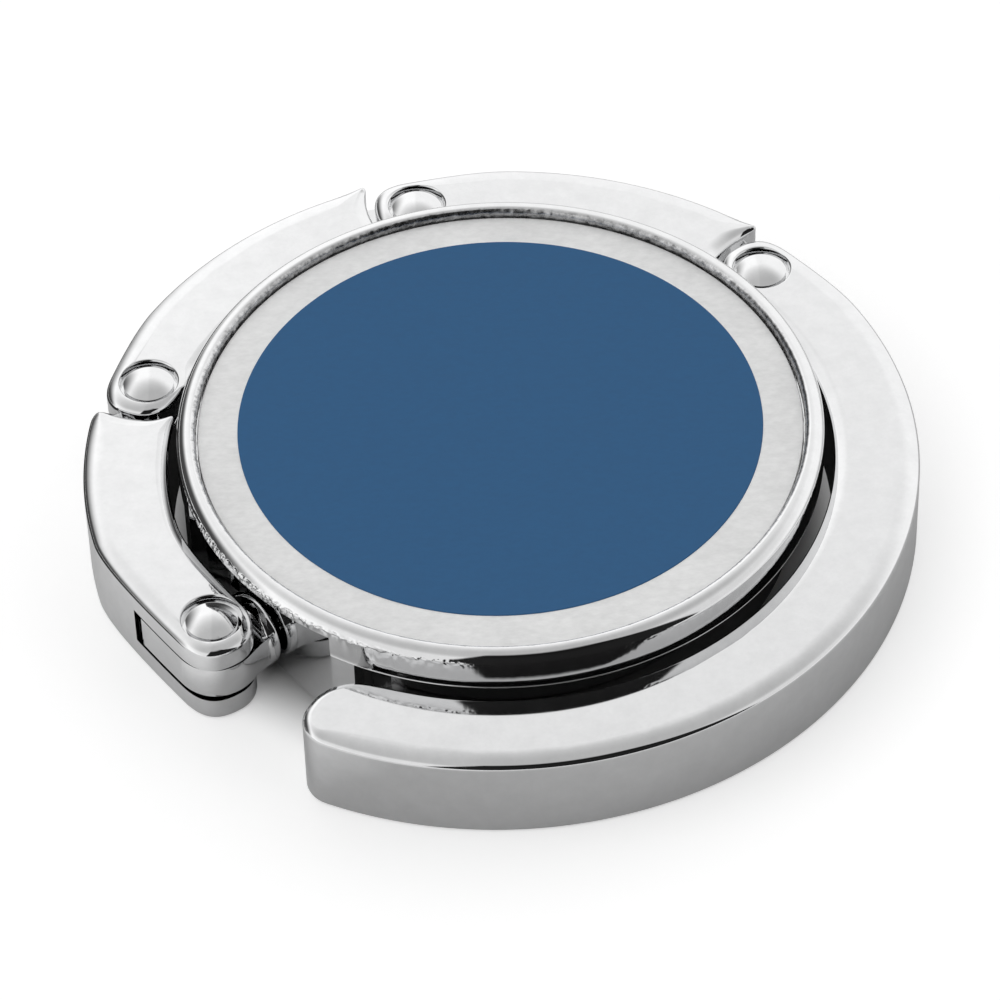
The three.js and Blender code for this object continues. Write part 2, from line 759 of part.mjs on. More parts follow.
// Disc with everything that stays on it
function discGroup() {
  const group = new THREE.Group();
  const insertRadius = rimInnerRadius - insertClearance;
  const glueTop = insertFloor + insertAdhesiveThickness;
  const magnetEnd = discWallRadius - lugMagnetSkin - magnetClearance;
  group.add(piece('disc_body', discBody(), plating));
  group.add(piece('insert_adhesive', plate(insertRadius, insertFloor, glueTop), glue));
  group.add(piece('insert_plate', plate(insertRadius, glueTop, insertTop), insertMetal));
  group.add(piece('print_layer', plate(printRadius, insertTop, insertTop + printThickness), blueInk));
  group.add(piece('anti_slip_pad', plate(padRadius, 0, padThickness, padEdgeFillet), rubber));
  group.add(piece('pad_adhesive', plate(padRadius - padAdhesiveMargin, padThickness, padRecessRoof), glue));
  group.add(piece('swivel_washer', swivelWasher(), steel));
  group.add(piece(
    'lug_magnet',
    turnedAlong(lugMagnetAngle, barProfile(magnetRadius, magnetEnd - magnetThickness, magnetEnd)),
    nickel,
  ));
  return group;
}

// Chain of links with its rivets, and the hook arm at its end
function chainGroup() {
  const group = new THREE.Group();
  const blank = ringBlank(ringInnerRadius);
  const { first, second, third, fourth } = hinges;
  const magnetStart = ringInnerRadius + tipMagnetCover;
  group.add(piece('swivel_knuckle', knuckle(), plating));
  group.add(piece('link_1', firstLink(), plating));
  group.add(piece('link_2', link(blank, second, third), plating));
  group.add(piece('link_3', link(blank, third, fourth), plating));
  group.add(piece('hook_arm', hookArm(blank), plating));
  [first, second, third, fourth].forEach((place, index) => {
    group.add(piece(`rivet_${index + 1}`, rivet(), plating, place.centre));
  });
  group.add(piece(
    'tip_magnet',
    turnedAlong(tipMagnetAngle, barProfile(magnetRadius, magnetStart, magnetStart + magnetThickness)),
    nickel,
  ));
  return group;
}

const group = new THREE.Group();
group.add(discGroup());
group.add(chainGroup());

export default group;
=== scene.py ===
import math

import bmesh
import bpy
from mathutils import Matrix, Vector


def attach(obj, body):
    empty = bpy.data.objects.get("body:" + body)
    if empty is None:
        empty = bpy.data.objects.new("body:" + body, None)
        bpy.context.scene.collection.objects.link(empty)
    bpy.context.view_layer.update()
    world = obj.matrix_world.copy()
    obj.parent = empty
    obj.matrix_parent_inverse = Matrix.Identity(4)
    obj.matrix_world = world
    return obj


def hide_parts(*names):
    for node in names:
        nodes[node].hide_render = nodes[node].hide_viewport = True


# Folding purse hook: polished plating, a satin insert with a blue printed disc, and the light tent round it.
# Pieces are drawn in millimetres, as the frame's solids are, and each finished mesh is scaled to metres.

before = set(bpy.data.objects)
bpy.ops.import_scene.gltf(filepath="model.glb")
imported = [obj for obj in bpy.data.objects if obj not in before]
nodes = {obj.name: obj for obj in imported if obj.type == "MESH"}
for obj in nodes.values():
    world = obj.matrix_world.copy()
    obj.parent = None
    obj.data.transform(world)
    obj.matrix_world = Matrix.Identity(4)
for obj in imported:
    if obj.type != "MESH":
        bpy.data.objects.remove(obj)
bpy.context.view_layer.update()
scene = bpy.context.scene
metre = 0.001
quarter = 90
half = 180


# Plan drawing in millimetres and degrees

def polar(radius, degrees, centre=(0, 0)):
    angle = math.radians(degrees)
    return (centre[0] + radius * math.cos(angle), centre[1] + radius * math.sin(angle))


def arc(centre, radius, start, end, steps):
    return [polar(radius, start + (end - start) * i / steps, centre) for i in range(steps + 1)]


def bezierPoint(points, share):
    level = [Vector(p) for p in points]
    while len(level) > 1:
        level = [a.lerp(b, share) for a, b in zip(level, level[1:])]
    return tuple(level[0])


def bezier(points, steps):
    return [bezierPoint(points, i / steps) for i in range(steps + 1)]


def crossing(start, startHeading, end, endHeading):
    ahead, back = Vector(polar(1, startHeading)), Vector(polar(1, endHeading))
    apart = Vector(end) - Vector(start)
    return tuple(Vector(start) + ahead * (apart.cross(back) / ahead.cross(back)))


# The ring and its hinges, as in the frame's solids; its inside lies a little closer to the disc than theirs
ring = {
    "inner": 17.92,
    "outer": 22.5,
    "thickness": 5.2,
    "pivotRadius": 20.07,
    "firstPivotRadius": 19.3,
    "pivotAngle": 42.5,
    "span": 60,
    "firstSpan": 54.8,
    "blend": 14,
    "firstBlend": 22.5,
    "tip": -120,
}


def hinge(angle, radius, blend):
    return {"angle": angle, "centre": polar(radius, angle), "blend": blend}


fourthHinge = hinge(ring["pivotAngle"], ring["pivotRadius"], ring["blend"])
thirdHinge = hinge(fourthHinge["angle"] + ring["span"], ring["pivotRadius"], ring["blend"])
secondHinge = hinge(thirdHinge["angle"] + ring["span"], ring["pivotRadius"], ring["blend"])
firstHinge = hinge(secondHinge["angle"] + ring["firstSpan"], ring["firstPivotRadius"], ring["firstBlend"])
swivelAngle = firstHinge["angle"]


def beside(place, outward, onward, turn=0):
    local = Vector((outward, onward))
    local.rotate(Matrix.Rotation(math.radians(place["angle"] + turn), 2))
    return (place["centre"][0] + local.x, place["centre"][1] + local.y)


# Each kind of edge: how far its top rolls in and drops, its bottom in and up, and how crowned the top roll is
edgeColumns = ("topIn", "topDrop", "bottomIn", "bottomRise", "crown")
edgeRounds = {
    "outer": (1.07, 0.49, 0.35, 0.3, 1),
    "ear": (0.74, 0.46, 0.3, 0.3, 0.5),
    "shoulder": (0.85, 0.5, 0.2, 0.2, 0.5),
    "inner": (0.9, 0.2, 0.2, 0.2, 1),
    "hollow": (0.7, 0.4, 0.2, 0.2, 0.3),
    "tip": (0.5, 0.42, 0.35, 0.3, 0.2),
    "tongue": (0.15, 0.15, 0.15, 0.15, 0),
}
# A crowned roll falls slowly to the first share of its width and drop, then turns down quickly
crown = {"width": 0.79, "drop": 0.35, "turnStart": 0.6, "turnEnd": 0.4}

link = {
    "earInner": 1.95,
    "earOuter": 2.2,
    "earReach": 2.35,
    "innerCorner": 0.56,
    "outerCorner": 0.7,
    "shoulder": 2.72,
    "shoulderRadius": 5.5,
    "shoulderShift": 0.5,
    "tongueRadius": 1.95,
    "tongueOverlap": 1.0,
    "tongueBottom": 2.055,
    "tongueTop": 3.655,
    "slotBottom": 1.425,
    "slotTop": 3.775,
    "slotGap": 0.4,
    "firstSlotGap": 0.6,
    "hole": 0.95,
    "recess": 1.6,
    "recessDepth": 0.5,
    "recessLip": 0.12,
    "innerBlend": 22,
    "arcStep": 1.0,
    "overrun": 1.0,
    "earSteps": 16,
    "shoulderSteps": 20,
    "hornSteps": 8,
    "noseSteps": 28,
    "tongueRollSteps": 3,
    "lipSteps": 4,
    "recessSteps": 120,
    "pinSteps": 64,
    "pocketSteps": 160,
    "searches": 40,
    "edge": 0.09,
}


def drawn(kind, points):
    return [(p[0], p[1], kind) for p in points]


def earSide(place):
    root = beside(place, -link["earInner"], 0)
    end = beside(place, 0, link["earReach"])
    side = beside(place, link["earOuter"], 0)
    inner = bezier([
        root,
        beside(place, -link["earInner"], link["earReach"] * link["innerCorner"]),
        beside(place, -link["earInner"] * link["innerCorner"], link["earReach"]),
        end,
    ], link["earSteps"])
    outer = bezier([
        end,
        beside(place, link["earOuter"] * link["outerCorner"], link["earReach"]),
        beside(place, link["earOuter"], link["earReach"] * link["outerCorner"]),
        side,
    ], link["earSteps"])
    ringAngle = place["angle"] - place["blend"]
    ringPoint = polar(ring["outer"], ringAngle)
    control = crossing(side, place["angle"] - quarter, ringPoint, ringAngle - quarter)
    widening = bezier([side, control, ringPoint], link["earSteps"])
    return drawn("ear", inner[:-1] + outer[:-1]) + drawn("outer", widening[:-1])


def ringArc(radius, start, end):
    steps = max(2, round(abs(end - start) / link["arcStep"]))
    return arc((0, 0), radius, start, end, steps)


def shoulderPoint(place, lean):
    outward = link["shoulderShift"] + link["shoulderRadius"] * math.sin(lean)
    onward = link["shoulder"] - link["shoulderRadius"] * (1 - math.cos(lean))
    return beside(place, outward, onward)


def shoulderLean(place, radius, near, far):
    for _ in range(link["searches"]):
        middle = (near + far) / 2
        if Vector(shoulderPoint(place, middle)).length < radius:
            near = middle
        else:
            far = middle
    return near


def angleOf(point, near):
    angle = math.degrees(math.atan2(point[1], point[0]))
    return near + (angle - near + half) % (2 * half) - half


# How far the horns at both ends of a shoulder are rounded: most on the first link
hornRounds = {("outer", "shoulder"): 0.45, ("shoulder", "hollow"): 0.36}
firstHornRounds = {("outer", "shoulder"): 1.2, ("shoulder", "hollow"): 0.5}


# Point at a way from an outline's corner, back or on, and how many of its points lie between
def along(outline, index, way, step):
    left = way
    passed = 0
    while True:
        here = Vector(outline[(index + passed * step) % len(outline)][:2])
        there = Vector(outline[(index + (passed + 1) * step) % len(outline)][:2])
        span = (there - here).length
        if span >= left:
            return tuple(here.lerp(there, left / span)), passed
        left -= span
        passed += 1


def hornsRounded(outline, ways):
    count = len(outline)
    drop, extra = set(), {}
    for i in range(count):
        way = ways.get((outline[i - 1][2], outline[i][2]))
        if way is None:
            continue
        before, passedBack = along(outline, i, way, -1)
        after, passedOn = along(outline, i, way, 1)
        drop.update((i - k) % count for k in range(passedBack + 1))
        drop.update((i + k) % count for k in range(passedOn + 1))
        extra[i] = drawn("shoulder", bezier([before, outline[i][:2], after], link["hornSteps"]))
    rounded = []
    for i in range(count):
        if i in extra:
            rounded += extra[i]
        elif i not in drop:
            rounded.append(outline[i])
    return rounded


def linkOutline(fork, joined):
    outerLean = shoulderLean(joined, ring["outer"], 0, 1)
    innerLean = shoulderLean(joined, ring["inner"], -1, 0)
    outerHorn = angleOf(shoulderPoint(joined, outerLean), joined["angle"])
    innerHorn = angleOf(shoulderPoint(joined, innerLean), joined["angle"])
    steps = link["shoulderSteps"]
    shoulder = [shoulderPoint(joined, outerLean + (innerLean - outerLean) * i / steps) for i in range(steps)]
    outline = earSide(fork)
    outline += drawn("outer", ringArc(ring["outer"], fork["angle"] - fork["blend"], outerHorn)[:-1])
    outline += drawn("shoulder", shoulder)
    if fork is not firstHinge:
        outline += drawn("hollow", ringArc(ring["inner"], innerHorn, fork["angle"])[:-1])
        return hornsRounded(outline, hornRounds)
    turn = fork["angle"] - link["innerBlend"]
    start, end = polar(ring["inner"], turn), beside(fork, -link["earInner"], 0)
    control = crossing(start, turn + quarter, end, fork["angle"] - quarter)
    outline += drawn("hollow", ringArc(ring["inner"], innerHorn, turn)[:-1])
    outline += drawn("hollow", bezier([start, control, end], steps)[:-1])
    return hornsRounded(outline, firstHornRounds)


hook = {
    "innerCorner": 2.6,
    "outerCorner": 1.7,
    "innerSteps": 16,
    "outerSteps": 12,
    "pocket": 1.05,
    "pocketEnd": 19.65,
    "pocketAngle": -114,
}


def hookOutline():
    place = fourthHinge
    outerReach = ring["outer"] - hook["outerCorner"]
    outerAngle = ring["tip"] + math.degrees(math.asin(hook["outerCorner"] / outerReach))
    innerReach = ring["inner"] + hook["innerCorner"]
    innerAngle = ring["tip"] + math.degrees(math.asin(hook["innerCorner"] / innerReach))
    outerCentre, innerCentre = polar(outerReach, outerAngle), polar(innerReach, innerAngle)
    square = ring["tip"] - quarter
    outerTip = arc(outerCentre, hook["outerCorner"], outerAngle, square, hook["outerSteps"])
    innerTip = arc(innerCentre, hook["innerCorner"], square, innerAngle - half, hook["innerSteps"])
    outline = earSide(place)
    outline += drawn("outer", ringArc(ring["outer"], place["angle"] - place["blend"], outerAngle)[:-1])
    outline += drawn("tip", outerTip + innerTip[:-1])
    outline += drawn("inner", ringArc(ring["inner"], innerAngle, place["angle"])[:-1])
    return outline


# Meshes

def newObject(name, mesh):
    made = bpy.data.objects.new(name, mesh)
    scene.collection.objects.link(made)
    return made


def applied(obj):
    graph = bpy.context.evaluated_depsgraph_get()
    graph.update()
    mesh = bpy.data.meshes.new_from_object(obj.evaluated_get(graph), depsgraph=graph)
    obj.modifiers.clear()
    old = obj.data
    obj.data = mesh
    bpy.data.meshes.remove(old)
    return obj


def meshObject(name, vertices, faces=()):
    mesh = bpy.data.meshes.new(name)
    mesh.from_pydata(vertices, [], faces)
    return newObject(name, mesh)


def clockwise(points):
    return sum(a[0] * b[1] - b[0] * a[1] for a, b in zip(points, points[1:] + points[:1])) < 0


# How the rolled edges are worked out: their limits at corners and bends, what counts as a corner, and steps
roll = {
    "least": 0.1,
    "share": 0.45,
    "bend": 0.8,
    "leastTurn": 0.001,
    "cornerCosine": 0.9,
    "mitreSine": 0.4,
    "passes": 14,
    "steps": 10,
}


# Most that an edge can roll over: little at sharp corners and tight bends, and more with the way from them
def rollLimits(outline, corner, turns):
    count = len(outline)
    lengths = [math.dist(outline[i][:2], outline[(i + 1) % count][:2]) for i in range(count)]
    limits = []
    for i in range(count):
        bend = (lengths[i - 1] + lengths[i]) / 2 / max(turns[i], roll["leastTurn"]) * roll["bend"]
        limits.append(roll["least"] if corner[i] else bend)
    for _ in range(2):
        for i in range(count):
            limits[i] = min(limits[i], limits[i - 1] + roll["share"] * lengths[i - 1])
        for i in range(count - 1, -1, -1):
            limits[i] = min(limits[i], limits[(i + 1) % count] + roll["share"] * lengths[i])
    return [(limits[i] + limits[(i + 1) % count]) / 2 for i in range(count)]


# Sizes along an outline, faded from one kind of edge to the next, but not across a corner
def edgeSizes(outline, column, corner, limits):
    sizes = [edgeRounds[p[2]][edgeColumns.index(column)] for p in outline]
    count = len(sizes)
    for _ in range(roll["passes"]):
        last = list(sizes)
        for i in range(count):
            before = last[i] if corner[i] else last[i - 1]
            after = last[i] if corner[(i + 1) % count] else last[(i + 1) % count]
            sizes[i] = (before + 2 * last[i] + after) / 4
    if column == "crown":
        return sizes
    return [min(size, limit) for size, limit in zip(sizes, limits)]


def rollShape(share, crowning):
    turn = math.pi / 2 * share
    plain = Vector((math.sin(turn), 1 - math.cos(turn)))
    width, drop = crown["width"], crown["drop"]
    if share <= 0.5:
        crowned = Vector((width * 2 * share, drop * (2 * share) ** 2))
    else:
        slope = 2 * drop / width
        corner = drop + (1 - width) * slope
        crowned = Vector(bezierPoint([
            (width, drop),
            (width + crown["turnStart"] * (1 - width), drop + crown["turnStart"] * (corner - drop)),
            (1, corner + crown["turnEnd"] * (1 - corner)),
            (1, 1),
        ], 2 * share - 1))
    return plain.lerp(crowned, crowning)


# Block with an outline in plan, its top and bottom edges rolled over by each stretch's own rounds
def rolledBlock(name, outline, bottom, top, steps=roll["steps"]):
    if clockwise(outline):
        kinds = [p[2] for p in outline][::-1]
        outline = [(p[0], p[1], kind) for p, kind in zip(outline[::-1], kinds[1:] + kinds[:1])]
    count = len(outline)
    points = [Vector(p[:2]) for p in outline]
    inward = []
    for i in range(count):
        ahead = (points[(i + 1) % count] - points[i]).normalized()
        inward.append(Vector((-ahead.y, ahead.x)))
    corner = [inward[i - 1].dot(inward[i]) < roll["cornerCosine"] for i in range(count)]
    turns = [math.asin(max(-1, min(1, inward[i - 1].cross(inward[i])))) for i in range(count)]
    limits = rollLimits(outline, corner, turns)
    sizes = {column: edgeSizes(outline, column, corner, limits) for column in edgeColumns}

    def inset(column, i):
        before, after = sizes[column][i - 1], sizes[column][i]
        n, m = inward[i - 1], inward[i]
        cross = n.cross(m)
        if abs(cross) > roll["mitreSine"]:
            return Vector(((before * m.y - after * n.y) / cross, (after * n.x - before * m.x) / cross))
        return (n + m) / (1 + n.dot(m)) * (before + after) / 2

    def level(column, i):
        return (sizes[column][i - 1] + sizes[column][i]) / 2

    vertices = []
    for k in range(steps + 1):
        turn = math.pi / 2 * k / steps
        for i in range(count):
            place = points[i] + inset("bottomIn", i) * (1 - math.sin(turn))
            vertices.append((*place, bottom + level("bottomRise", i) * (1 - math.cos(turn))))
    for k in range(steps, -1, -1):
        for i in range(count):
            shape = rollShape(k / steps, level("crown", i))
            place = points[i] + inset("topIn", i) * (1 - shape.x)
            vertices.append((*place, top - level("topDrop", i) * shape.y))
    last = len(vertices) - count
    faces = [list(range(count))[::-1]]
    for low in range(0, last, count):
        high = low + count
        faces += [[low + i, low + (i + 1) % count, high + (i + 1) % count, high + i] for i in range(count)]
    faces.append(list(range(last, last + count)))
    return meshObject(name, vertices, faces)


def plainBlock(name, points, bottom, top):
    if clockwise(points):
        points = points[::-1]
    count = len(points)
    vertices = [(p[0], p[1], height) for height in (bottom, top) for p in points]
    faces = [list(range(count))[::-1], [count + i for i in range(count)]]
    faces += [[i, (i + 1) % count, count + (i + 1) % count, count + i] for i in range(count)]
    return meshObject(name, vertices, faces)


# Node trees

# Sets a node's inputs, each to a constant or to a link from another node's output
def fill(tree, made, inputs):
    for key, value in inputs.items():
        if isinstance(value, bpy.types.NodeSocket):
            tree.links.new(value, made.inputs[key])
        else:
            made.inputs[key].default_value = value
    return made


def node(tree, kind, inputs=None, **settings):
    made = tree.nodes.new(kind)
    for name, value in settings.items():
        setattr(made, name, value)
    return fill(tree, made, inputs or {})


def number(tree, operation, *values):
    return node(tree, "ShaderNodeMath", dict(enumerate(values)), operation=operation).outputs[0]


def vector(tree, operation, *values):
    return node(tree, "ShaderNodeVectorMath", dict(enumerate(values)), operation=operation).outputs["Vector"]


def product(tree, first, second):
    return number(tree, "MULTIPLY", first, second)


# Length of a vector, or its share along a direction
def measure(tree, operation, *values):
    return node(tree, "ShaderNodeVectorMath", dict(enumerate(values)), operation=operation).outputs["Value"]


def split(tree, value):
    return node(tree, "ShaderNodeSeparateXYZ", {0: value}).outputs


def ranged(tree, value, start, end, low=0, high=1, kind="LINEAR"):
    limits = {"Value": value, "From Min": start, "From Max": end, "To Min": low, "To Max": high}
    return node(tree, "ShaderNodeMapRange", limits, interpolation_type=kind).outputs["Result"]


def objectPlace(tree):
    return node(tree, "ShaderNodeTexCoord").outputs["Object"]


# Places of a mix node's two ends and its result, for each kind of value
mixSockets = {"FLOAT": (2, 3, 0), "RGBA": (6, 7, 2)}


def mixed(tree, share, plain, other, kind):
    first, second, result = mixSockets[kind]
    return node(tree, "ShaderNodeMix", {0: share, first: plain, second: other}, data_type=kind).outputs[result]


def openTree(name, inputs, result):
    tree = bpy.data.node_groups.new(name, "GeometryNodeTree")
    for label, kind, value in inputs:
        socket = tree.interface.new_socket(label, in_out="INPUT", socket_type="NodeSocket" + kind)
        if value is not None:
            socket.default_value = value
    tree.interface.new_socket(result, in_out="OUTPUT", socket_type="NodeSocketGeometry")
    return tree, node(tree, "NodeGroupInput").outputs


# A tree ends in real geometry that carries its material
def closeTree(tree, given, geometry, result):
    real = node(tree, "GeometryNodeRealizeInstances", {"Geometry": geometry}).outputs["Geometry"]
    coat = node(tree, "GeometryNodeSetMaterial", {"Geometry": real, "Material": given["Finish"]})
    node(tree, "NodeGroupOutput", {result: coat.outputs["Geometry"]})
    return tree


# Node tree that turns a profile of radius and height about an upright axis
def makeLatheTree():
    tree, given = openTree("latheTree", [
        ("Profile", "Geometry", None),
        ("Turning steps", "Int", 64),
        ("Place", "Vector", None),
        ("Weld distance", "Float", 0.0005),
        ("Finish", "Material", None),
    ], "Turning")
    count = node(tree, "GeometryNodeAttributeDomainSize", {"Geometry": given["Profile"]}).outputs["Point Count"]
    grid = node(tree, "GeometryNodeMeshGrid", {
        "Size X": 1,
        "Size Y": 1,
        "Vertices X": number(tree, "ADD", given["Turning steps"], 1),
        "Vertices Y": count,
    }).outputs["Mesh"]
    position = node(tree, "GeometryNodeInputPosition").outputs[0]
    share = split(tree, position)
    along = number(tree, "ADD", share["Y"], 0.5)
    index = number(tree, "ROUND", product(tree, along, number(tree, "SUBTRACT", count, 1)))
    sample = node(tree, "GeometryNodeSampleIndex", {
        "Geometry": given["Profile"],
        "Value": position,
        "Index": index,
    }, data_type="FLOAT_VECTOR")
    profile = split(tree, sample.outputs["Value"])
    angle = product(tree, number(tree, "ADD", share["X"], 0.5), 2 * math.pi)
    spot = node(tree, "ShaderNodeCombineXYZ", {
        "X": product(tree, profile["X"], number(tree, "COSINE", angle)),
        "Y": product(tree, profile["X"], number(tree, "SINE", angle)),
        "Z": profile["Z"],
    }).outputs[0]
    moved = vector(tree, "ADD", spot, given["Place"])
    shape = node(tree, "GeometryNodeSetPosition", {"Geometry": grid, "Position": moved}).outputs["Geometry"]
    weld = {"Geometry": shape, "Distance": given["Weld distance"]}
    merged = node(tree, "GeometryNodeMergeByDistance", weld).outputs["Geometry"]
    return closeTree(tree, given, merged, "Turning")


latheTree = makeLatheTree()


def treeInputs(modifier, values):
    for item in modifier.node_group.interface.items_tree:
        if item.item_type == "SOCKET" and item.in_out == "INPUT" and item.name in values:
            modifier[item.identifier] = values[item.name]


# Sizes of a rough band, in the order that its tree asks for them
roughSizes = ("Height", "Half height", "Least radius", "Most radius", "Azimuth", "Half stretch", "Depth", "Grain")
roughNoise = {"detail": 3, "roughness": 0.65, "seedShift": 7.3, "middle": 0.5}


# Node tree that roughens a band of a turned wall: a height, a stretch of radius and a stretch of azimuth
def makeRoughTree():
    tree, given = openTree("roughTree", [
        ("Wall", "Geometry", None),
        *[(label, "Float", None) for label in roughSizes],
        ("Seed", "Int", 1),
        ("Finish", "Material", None),
    ], "Rough wall")
    def within(value, middle, spread):
        off = number(tree, "ABSOLUTE", number(tree, "SUBTRACT", value, middle))
        left = number(tree, "SUBTRACT", 1, number(tree, "DIVIDE", off, spread))
        return number(tree, "SQRT", number(tree, "MAXIMUM", left, 0))

    position = node(tree, "GeometryNodeInputPosition").outputs[0]
    parts = split(tree, position)
    flat = node(tree, "ShaderNodeCombineXYZ", {"X": parts["X"], "Y": parts["Y"]}).outputs[0]
    radius = measure(tree, "LENGTH", flat)
    opposite = number(tree, "RADIANS", number(tree, "ADD", given["Azimuth"], half))
    bearing = number(tree, "ARCTAN2", parts["Y"], parts["X"])
    turn = number(tree, "FLOORED_MODULO", number(tree, "SUBTRACT", bearing, opposite), 2 * math.pi)
    stretch = within(turn, math.pi, number(tree, "RADIANS", given["Half stretch"]))
    band = within(parts["Z"], given["Height"], given["Half height"])
    inside = product(
        tree,
        number(tree, "GREATER_THAN", radius, given["Least radius"]),
        number(tree, "LESS_THAN", radius, given["Most radius"]),
    )
    mask = product(tree, product(tree, stretch, band), inside)
    shift = product(tree, given["Seed"], roughNoise["seedShift"])
    offset = node(tree, "ShaderNodeCombineXYZ", {"X": shift}).outputs[0]
    noise = node(tree, "ShaderNodeTexNoise", {
        "Vector": vector(tree, "ADD", position, offset),
        "Scale": given["Grain"],
        "Detail": roughNoise["detail"],
        "Roughness": roughNoise["roughness"],
    }).outputs["Fac"]
    swing = product(tree, number(tree, "SUBTRACT", noise, roughNoise["middle"]), given["Depth"])
    away = vector(tree, "NORMALIZE", flat)
    push = node(tree, "ShaderNodeVectorMath", {0: away, "Scale": product(tree, swing, mask)}, operation="SCALE")
    moved = {"Geometry": given["Wall"], "Offset": push.outputs["Vector"]}
    shape = node(tree, "GeometryNodeSetPosition", moved).outputs["Geometry"]
    return closeTree(tree, given, shape, "Rough wall")


roughTree = makeRoughTree()


def roughened(obj, bands):
    for band in bands:
        modifier = obj.modifiers.new("rough", "NODES")
        modifier.node_group = roughTree
        treeInputs(modifier, band)
        applied(obj)
    return obj


# Lengths and angles below which points and faces are merged
merging = {"turned": 0.0002, "cut": 0.002, "flatAngle": 0.2}


def turned(name, profile, steps, place=(0, 0, 0), finish=None):
    made = meshObject(name, [(r, 0, z) for r, z in profile])
    modifier = made.modifiers.new("lathe", "NODES")
    modifier.node_group = latheTree
    treeInputs(modifier, {"Turning steps": steps, "Place": place, "Finish": finish})
    return outward(applied(made))


def outward(obj):
    shape = bmesh.new()
    shape.from_mesh(obj.data)
    bmesh.ops.dissolve_degenerate(shape, dist=merging["turned"], edges=shape.edges[:])
    bmesh.ops.recalc_face_normals(shape, faces=shape.faces[:])
    if shape.calc_volume(signed=True) < 0:
        bmesh.ops.reverse_faces(shape, faces=shape.faces[:])
    shape.to_mesh(obj.data)
    shape.free()
    return obj


# Turned piece laid along the level axis that leaves the disc's centre at an angle
def turnedAlong(name, angle, profile, steps=64):
    made = turned(name, profile, steps)
    level = Matrix.Rotation(math.pi / 2, 4, "Y")
    face = Matrix.Rotation(math.radians(angle), 4, "Z")
    made.data.transform(Matrix.Translation((0, 0, ring["thickness"] / 2)) @ face @ level)
    return made


def cylinder(name, centre, radius, bottom, top, steps=96):
    profile = [(0, bottom), (radius, bottom), (radius, top), (0, top)]
    return turned(name, profile, steps, (centre[0], centre[1], 0))


def carve(body, cutters, how="DIFFERENCE"):
    for cutter in cutters:
        modifier = body.modifiers.new("cut", "BOOLEAN")
        modifier.operation = how
        modifier.solver = "MANIFOLD"
        modifier.object = cutter
        applied(body)
        old = cutter.data
        bpy.data.objects.remove(cutter)
        bpy.data.meshes.remove(old)
    return body


# Breaks the sharp edges that the cuts leave, all of them or those whose middle passes a test
def softened(obj, width, angle=38, segments=2, chosen=None):
    shape = bmesh.new()
    shape.from_mesh(obj.data)
    flat = math.radians(merging["flatAngle"])
    bmesh.ops.remove_doubles(shape, verts=shape.verts[:], dist=merging["cut"])
    bmesh.ops.dissolve_limit(shape, angle_limit=flat, verts=shape.verts[:], edges=shape.edges[:])
    weight = shape.edges.layers.float.new("bevel_weight_edge")
    for edge in shape.edges:
        steep = len(edge.link_faces) == 2 and edge.calc_face_angle() > math.radians(angle)
        if steep and (chosen is None or chosen((edge.verts[0].co + edge.verts[1].co) / 2)):
            edge[weight] = 1
    shape.to_mesh(obj.data)
    shape.free()
    modifier = obj.modifiers.new("edge", "BEVEL")
    modifier.width = width
    modifier.segments = segments
    modifier.limit_method = "WEIGHT"
    modifier.use_clamp_overlap = True
    modifier.miter_outer = "MITER_ARC"
    return applied(obj)


# Scales a finished piece to metres, shades it and joins it to its body
def fitted(obj, body, cadNodes, material, sharp=35):
    obj.data.transform(Matrix.Scale(metre, 4))
    obj.data.shade_smooth()
    obj.data.set_sharp_from_angle(angle=math.radians(sharp))
    obj.data.materials.clear()
    obj.data.materials.append(material)
    modifier = obj.modifiers.new("normals", "WEIGHTED_NORMAL")
    modifier.keep_sharp = True
    applied(obj)
    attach(obj, body)
    if cadNodes:
        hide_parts(*cadNodes)
    print("made", obj.name, len(obj.data.polygons), "faces")
    return obj


# Materials

def newMaterial(name):
    material = bpy.data.materials.new(name)
    material.use_nodes = True
    return material, material.node_tree, material.node_tree.nodes["Principled BSDF"]


def noiseOf(tree, scale, detail=3, roughness=0.5, stretch=(1, 1, 1)):
    mapped = node(tree, "ShaderNodeMapping", {"Vector": objectPlace(tree), "Scale": stretch}).outputs["Vector"]
    look = {"Vector": mapped, "Scale": scale, "Detail": detail, "Roughness": roughness}
    return node(tree, "ShaderNodeTexNoise", look).outputs["Fac"]


# The part of a noise's range that is spread over a colour or a roughness
noiseEnds = (0.3, 0.7)


def spread(tree, value, low, high):
    return ranged(tree, value, *noiseEnds, low, high)


def shades(tree, value, dark, light):
    made = node(tree, "ShaderNodeValToRGB", {"Fac": value})
    for element, position, colour in zip(made.color_ramp.elements, noiseEnds, (dark, light)):
        element.position, element.color = position, (*colour, 1)
    return made.outputs["Color"]


def raised(tree, value, height, before=None):
    relief = {"Strength": 1, "Distance": height, "Height": value}
    if before is not None:
        relief["Normal"] = before
    return node(tree, "ShaderNodeBump", relief).outputs["Normal"]


# Plating of all the castings, and the rough cast skin that it has where no polishing wheel reaches, whose colour
# is painted dark as shade in the crease inside the disc's rim
plating = {
    "dark": (0.7, 0.702, 0.706),
    "light": (0.76, 0.762, 0.766),
    "roughness": (0.03, 0.07),
    "wear": (900, 5, 0.7),
    "wave": (260, 2),
    "waveHeight": 0.0000035,
    "peel": (2200, 2),
    "peelHeight": 0.00000018,
}
shadedSkin = {
    "dark": (0.16, 0.16, 0.162),
    "light": (0.6, 0.6, 0.605),
    "roughness": (0.18, 0.4),
    "pits": (2400, 4, 0.7),
    "ragged": 0.0003,
    "radii": (0.01668, 0.01652),
    "heights": (0.00695, 0.00702),
}
